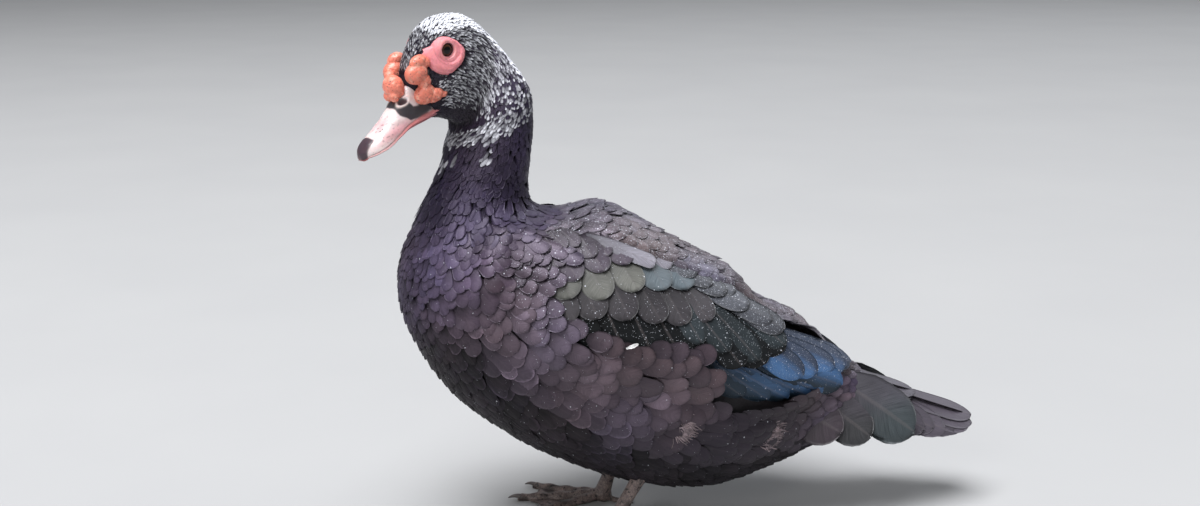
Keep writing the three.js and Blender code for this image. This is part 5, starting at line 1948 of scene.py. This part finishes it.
def build_stage(context):
    """A pale floor, soft lights and the photo's camera."""
    sizes = context.scene.duck_sizes
    up = np.cross(CAMERA_RIGHT, CAMERA_AHEAD)
    axes = np.array([CAMERA_RIGHT, up, -CAMERA_AHEAD])
    data = bpy.data.cameras.new("photo_camera")
    data.lens = CAMERA_LENS
    data.sensor_width = CAMERA_SENSOR
    data.clip_end = 200
    camera = bpy.data.objects.new("photo_camera", data)
    context.scene.collection.objects.link(camera)
    turn = Matrix(axes.T.tolist()).to_4x4()
    camera.matrix_world = Matrix.Translation(Vector(in_frame(CAMERA_AT))) @ turn
    context.scene.camera = camera

    mesh = bpy.data.meshes.new("floor")
    s = FLOOR_HALF
    mesh.from_pydata([(-s, -s, 0), (s, -s, 0), (s, s, 0), (-s, s, 0)], [], [(0, 1, 2, 3)])
    floor = bpy.data.objects.new("floor", mesh)
    context.scene.collection.objects.link(floor)
    material, tree, shader = new_material("Pale floor", Roughness=0.85)
    clouds = noise(tree, 3.0, 4.0, Vector=object_place(tree))
    colour = blended(tree, "MIX", clouds, *FLOOR_TONES)
    tree.links.new(colour, shader.inputs["Base Color"])
    mesh.materials.append(material)

    world = bpy.data.worlds.new("Soft daylight")
    world.use_nodes = True
    background = world.node_tree.nodes["Background"]
    background.inputs["Color"].default_value = SKY_TONE
    background.inputs["Strength"].default_value = SKY_STRENGTH * sizes.light
    context.scene.world = world

    for name, at, energy, size, colour in LIGHTS:
        data = bpy.data.lights.new(name, "AREA")
        data.energy = energy * sizes.light
        data.size = size
        data.color = colour
        light = bpy.data.objects.new(name, data)
        context.scene.collection.objects.link(light)
        at = Vector(at)
        turn = (Vector(LIT_POINT) - at).to_track_quat("-Z", "Y")
        light.matrix_world = Matrix.Translation(at) @ turn.to_matrix().to_4x4()
    context.scene.view_settings.view_transform = "Standard"


# What a user can change


class DuckSizes(bpy.types.PropertyGroup):
    feather_length: FloatProperty(
        name="Feather length", description="Body feathers' length beside the usual",
        default=1.0, min=0.7, max=1.3
    )
    feather_width: FloatProperty(
        name="Wing feather width", description="Wing feathers' width beside the usual",
        default=1.0, min=0.8, max=1.2
    )
    light: FloatProperty(
        name="Light", description="Strength of all lights beside the usual", default=1.0, min=0.1
    )


def paint(name, description, value):
    """A colour that a user can change."""
    return FloatVectorProperty(
        name=name, description=description, subtype="COLOR", size=3, min=0, max=1, default=value
    )


class DuckColours(bpy.types.PropertyGroup):
    neck: paint("Neck", "Velvety purple black of head and neck", (0.015, 0.010, 0.023))
    breast: paint("Breast", "Feathers of the breast", (0.040, 0.030, 0.052))
    flank: paint("Flank", "Feathers of the flanks", (0.047, 0.035, 0.044))
    mantle: paint("Mantle", "Feathers of the upper back", (0.078, 0.067, 0.080))
    # Near-black partly by the feathers' own colour and partly by painted shade of the underside
    belly: paint("Belly", "Feathers under the body", (0.010, 0.0078, 0.011))
    primaries: paint("Primaries", "Wing-tip feathers", (0.045, 0.050, 0.062))
    secondaries: paint("Secondaries", "Blue gloss of the flight feathers", (0.054, 0.124, 0.26))
    teal: paint("Teal", "Green gloss of the flight feathers", (0.008, 0.017, 0.027))
    tertials: paint("Tertials", "Innermost flight feathers", (0.040, 0.051, 0.080))
    greater_coverts: paint("Greater coverts", "Lowest row of wing coverts", (0.008, 0.009, 0.010))
    coverts: paint("Coverts", "Green grey of the wing coverts", (0.128, 0.128, 0.114))
    long_coverts: paint("Long coverts", "Long dark feathers behind the green coverts", (0.027, 0.034, 0.038))
    second_coverts: paint("Second coverts", "Dark rows under the green coverts", (0.046, 0.041, 0.046))
    teal_coverts: paint("Teal coverts", "Rear green coverts", (0.076, 0.095, 0.108))
    pale_scapulars: paint("Pale scapulars", "Long pale feathers of the shoulder", (0.20, 0.19, 0.22))
    lesser: paint("Lesser coverts", "Shoulder of the wing", (0.054, 0.041, 0.058))
    scapulars: paint("Scapulars", "Long feathers over the wing's root", (0.060, 0.063, 0.074))
    rectrices: paint("Tail", "Long tail feathers", (0.070, 0.060, 0.076))
    tail_coverts: paint("Tail coverts", "Feathers over the tail's root", (0.070, 0.064, 0.078))
    side_coverts: paint("Side coverts", "Dark feathers beside the tail's root", (0.026, 0.026, 0.028))
    under_tail: paint("Under tail", "Feathers under the tail's root", (0.026, 0.033, 0.036))
    bill: paint("Bill", "Pale flesh of the bill", (0.78, 0.66, 0.64))
    bill_pink: paint("Bill pink", "Pink parts of the bill", (0.74, 0.30, 0.33))
    bill_dark: paint("Bill dark", "Blue black parts of the bill", (0.014, 0.013, 0.020))
    bill_nail: paint("Nail", "Nail at the bill's tip", (0.060, 0.035, 0.045))
    caruncle: paint("Caruncles", "Red lumps of the face", (0.86, 0.25, 0.17))
    # Painted shade in the creases of the lumps and in the folds of the bare face
    painted_crease_shade: paint("Caruncle creases", "Creases between the lumps", (0.26, 0.05, 0.035))
    caruncle_pale: paint("Caruncle lights", "Paler parts of the lumps", (0.93, 0.50, 0.38))
    face_skin: paint("Bare skin", "Skin round the eye", (0.80, 0.27, 0.30))
    face_pale: paint("Lids", "Rims of the eyelids", (0.75, 0.42, 0.40))
    leg: paint("Legs", "Skin of legs and feet", (0.22, 0.165, 0.15))
    down: paint("Down", "Pale down behind the flanks", (0.30, 0.235, 0.25))
    claw: paint("Claws", "Horn of the claws", (0.10, 0.085, 0.08))


# Where the feathers of back, side and belly meet, as angles from the back
BACK_EDGE = 1.5
BELLY_EDGE = 2.1


def build_body_feathers(context):
    """Feathers of neck, breast, mantle, flanks and belly."""
    velvet = feather_material(
        "Neck feathers", 24.0, 0.46, relief=0.3, contrast=0.35, shaft=0.0, Specular_IOR_Level=0.5,
        Specular_Tint=(0.86, 0.76, 1.0, 1)
    )
    vane = feather_material(
        "Body feathers", 64.0, 0.38, relief=0.22, shaft=0.05, Specular_IOR_Level=0.42,
        Specular_Tint=(0.95, 0.82, 1.0, 1)
    )
    dull = feather_material(
        "Belly feathers", 46.0, 0.55, relief=0.3, contrast=0.32, shaft=0.05, Specular_IOR_Level=0.18
    )
    coat("nape_feathers", (5.1, 6.6), "tiny", velvet, context, 7)
    coat("neck_feathers", (6.5, 8.0), "tiny", velvet, context, 12)
    coat("throat_feathers", (7.9, 10.2), "tiny", velvet, context, 8)
    coat("back_feathers", (10.1, 22.9), "plain", vane, context, 9, (0, BACK_EDGE))
    coat("breast_feathers", (10.1, 15.0), "plain", vane, context, 9, (BACK_EDGE, BELLY_EDGE))
    coat("flank_feathers", (14.9, 22.9), "plain", vane, context, 10, (BACK_EDGE, BELLY_EDGE))
    coat("belly_feathers", (10.1, 22.9), "tiny", dull, context, 11, (BELLY_EDGE, 4))
    build_down(context)


# Places where pale down shows between the flank's feathers: station, angle from the back, and spread
DOWN_PLACES = [(17.45, 1.76, 3.6), (19.7, 1.76, 4.6)]
DOWN_COUNT = 200
# Where the small white feathers stand
WHITE_STATION = 15.45
WHITE_ANGLE = 1.38


def build_down(context):
    """Pale tufts of down behind the flanks, and one small white feather under each wing."""
    rng = np.random.default_rng(15)
    colours = context.scene.duck_colours
    t, angle, white = [WHITE_STATION] * 2, [WHITE_ANGLE, -WHITE_ANGLE], [True, True]
    for station, turn, spread in DOWN_PLACES:
        for side in (LEFT, RIGHT):
            along, around = body_metric(np.array([float(station)]), np.array([side * turn]))
            t += list(station + rng.normal(0, 0.6 * spread, DOWN_COUNT) / along[0])
            angle += list(side * turn + rng.normal(0, 1.3 * spread, DOWN_COUNT) / around[0])
            white += [False] * DOWN_COUNT
    t, angle, white = np.array(t), np.array(angle), np.array(white)
    count = len(t)
    spec = {
        "length": np.where(white, 9, rng.uniform(6, 14, count)),
        "width": np.where(white, 3.2, rng.uniform(0.4, 0.8, count)),
        "root": np.where(white, 3.0, 1.0),
        "tip": np.where(white, 5.5, rng.uniform(2.4, 4.2, count)),
        "rise": 0.6,
        "curl": 0.2,
        "bend": rng.normal(0, 0.2, count),
        "shaft": 0.02,
        "thick": 0.2,
        "ragged": 0,
    }
    turn = np.where(white, -0.9 * np.sign(angle), rng.normal(0, 0.35, count) + 0.2 * np.sign(angle))
    made = vanes(body_place(t, angle, turn, over_wing), spec, "tiny", "lance")
    tone = np.where(white[:, None], 0.75, np.array(colours.down)[None] * rng.uniform(0.4, 1.1, (count, 1)))
    material = feather_material(
        "Down", 14.0, 0.6, relief=0.2, contrast=0.2, shaft=0.0, Specular_IOR_Level=0.3
    )
    tint = feather_tint(tone, made, rng, edge=-0.35)
    feather_object("down_tufts", made, tint, root_places(t, angle), material)


def build_head_feathers(context):
    """Short feathers of the head, white at many tips."""
    velvet = feather_material(
        "Head feathers", 14.0, 0.5, relief=0.2, contrast=0.2, shaft=0.0, Specular_IOR_Level=0.4
    )
    coat("face_feathers", (0.35, 3.0), "speck", velvet, context, 6)
    coat("crown_feathers", (2.95, 5.2), "speck", velvet, context, 5)


class DUCK_OT_skin(bpy.types.Operator):
    """Build the skin under the coat"""

    bl_idname = "duck.skin"
    bl_label = "Skin"

    def execute(self, context):
        build_skin(context)
        return {"FINISHED"}


class DUCK_OT_body_feathers(bpy.types.Operator):
    """Grow the feathers of neck and trunk"""

    bl_idname = "duck.body_feathers"
    bl_label = "Body feathers"

    def execute(self, context):
        build_body_feathers(context)
        return {"FINISHED"}


class DUCK_OT_head_feathers(bpy.types.Operator):
    """Grow the short feathers of the head"""

    bl_idname = "duck.head_feathers"
    bl_label = "Head feathers"

    def execute(self, context):
        build_head_feathers(context)
        return {"FINISHED"}


class DUCK_OT_wings(bpy.types.Operator):
    """Lay the feathers of both folded wings"""

    bl_idname = "duck.wings"
    bl_label = "Wings"

    def execute(self, context):
        build_wings(context)
        return {"FINISHED"}


class DUCK_OT_tail(bpy.types.Operator):
    """Lay the feathers of the tail"""

    bl_idname = "duck.tail"
    bl_label = "Tail"

    def execute(self, context):
        build_tail(context)
        return {"FINISHED"}


class DUCK_OT_bill(bpy.types.Operator):
    """Build the upper and lower bill"""

    bl_idname = "duck.bill"
    bl_label = "Bill"

    def execute(self, context):
        build_bill(context)
        return {"FINISHED"}


class DUCK_OT_caruncles(bpy.types.Operator):
    """Build the knob and the red lumps of the face"""

    bl_idname = "duck.caruncles"
    bl_label = "Caruncles"

    def execute(self, context):
        build_caruncles(context)
        return {"FINISHED"}


class DUCK_OT_face(bpy.types.Operator):
    """Build the bare skin and lids round the eyes"""

    bl_idname = "duck.face"
    bl_label = "Face"

    def execute(self, context):
        build_face(context)
        return {"FINISHED"}


class DUCK_OT_eyes(bpy.types.Operator):
    """Build both eyeballs"""

    bl_idname = "duck.eyes"
    bl_label = "Eyes"

    def execute(self, context):
        build_eyes(context)
        return {"FINISHED"}


class DUCK_OT_legs(bpy.types.Operator):
    """Build the legs, webbed feet and claws"""

    bl_idname = "duck.legs"
    bl_label = "Legs"

    def execute(self, context):
        build_legs(context)
        return {"FINISHED"}


class DUCK_OT_stage(bpy.types.Operator):
    """Set the floor, the lights and the camera"""

    bl_idname = "duck.stage"
    bl_label = "Stage"

    def execute(self, context):
        build_stage(context)
        return {"FINISHED"}


OPERATORS = [
    DUCK_OT_skin, DUCK_OT_body_feathers, DUCK_OT_head_feathers, DUCK_OT_wings, DUCK_OT_tail, DUCK_OT_bill,
    DUCK_OT_caruncles, DUCK_OT_face, DUCK_OT_eyes, DUCK_OT_legs, DUCK_OT_stage,
]


class DUCK_PT_panel(bpy.types.Panel):
    bl_label = "Muscovy duck"
    bl_idname = "DUCK_PT_panel"
    bl_space_type = "VIEW_3D"
    bl_region_type = "UI"
    bl_category = "Duck"

    def draw(self, context):
        for group in (context.scene.duck_sizes, context.scene.duck_colours):
            box = self.layout.box()
            for key in group.__annotations__:
                box.prop(group, key)
        for operator in OPERATORS:
            self.layout.operator(operator.bl_idname)


CLASSES = [DuckSizes, DuckColours, *OPERATORS, DUCK_PT_panel]


def register():
    for item in CLASSES:
        bpy.utils.register_class(item)
    bpy.types.Scene.duck_sizes = PointerProperty(type=DuckSizes)
    bpy.types.Scene.duck_colours = PointerProperty(type=DuckColours)


def unregister():
    del bpy.types.Scene.duck_colours
    del bpy.types.Scene.duck_sizes
    for item in reversed(CLASSES):
        bpy.utils.unregister_class(item)


def main():
    register()
    bpy.ops.duck.skin()
    bpy.ops.duck.body_feathers()
    bpy.ops.duck.head_feathers()
    bpy.ops.duck.wings()
    bpy.ops.duck.tail()
    bpy.ops.duck.bill()
    bpy.ops.duck.caruncles()
    bpy.ops.duck.face()
    bpy.ops.duck.eyes()
    bpy.ops.duck.legs()
    bpy.ops.duck.stage()


if __name__ == "__main__":
    main()
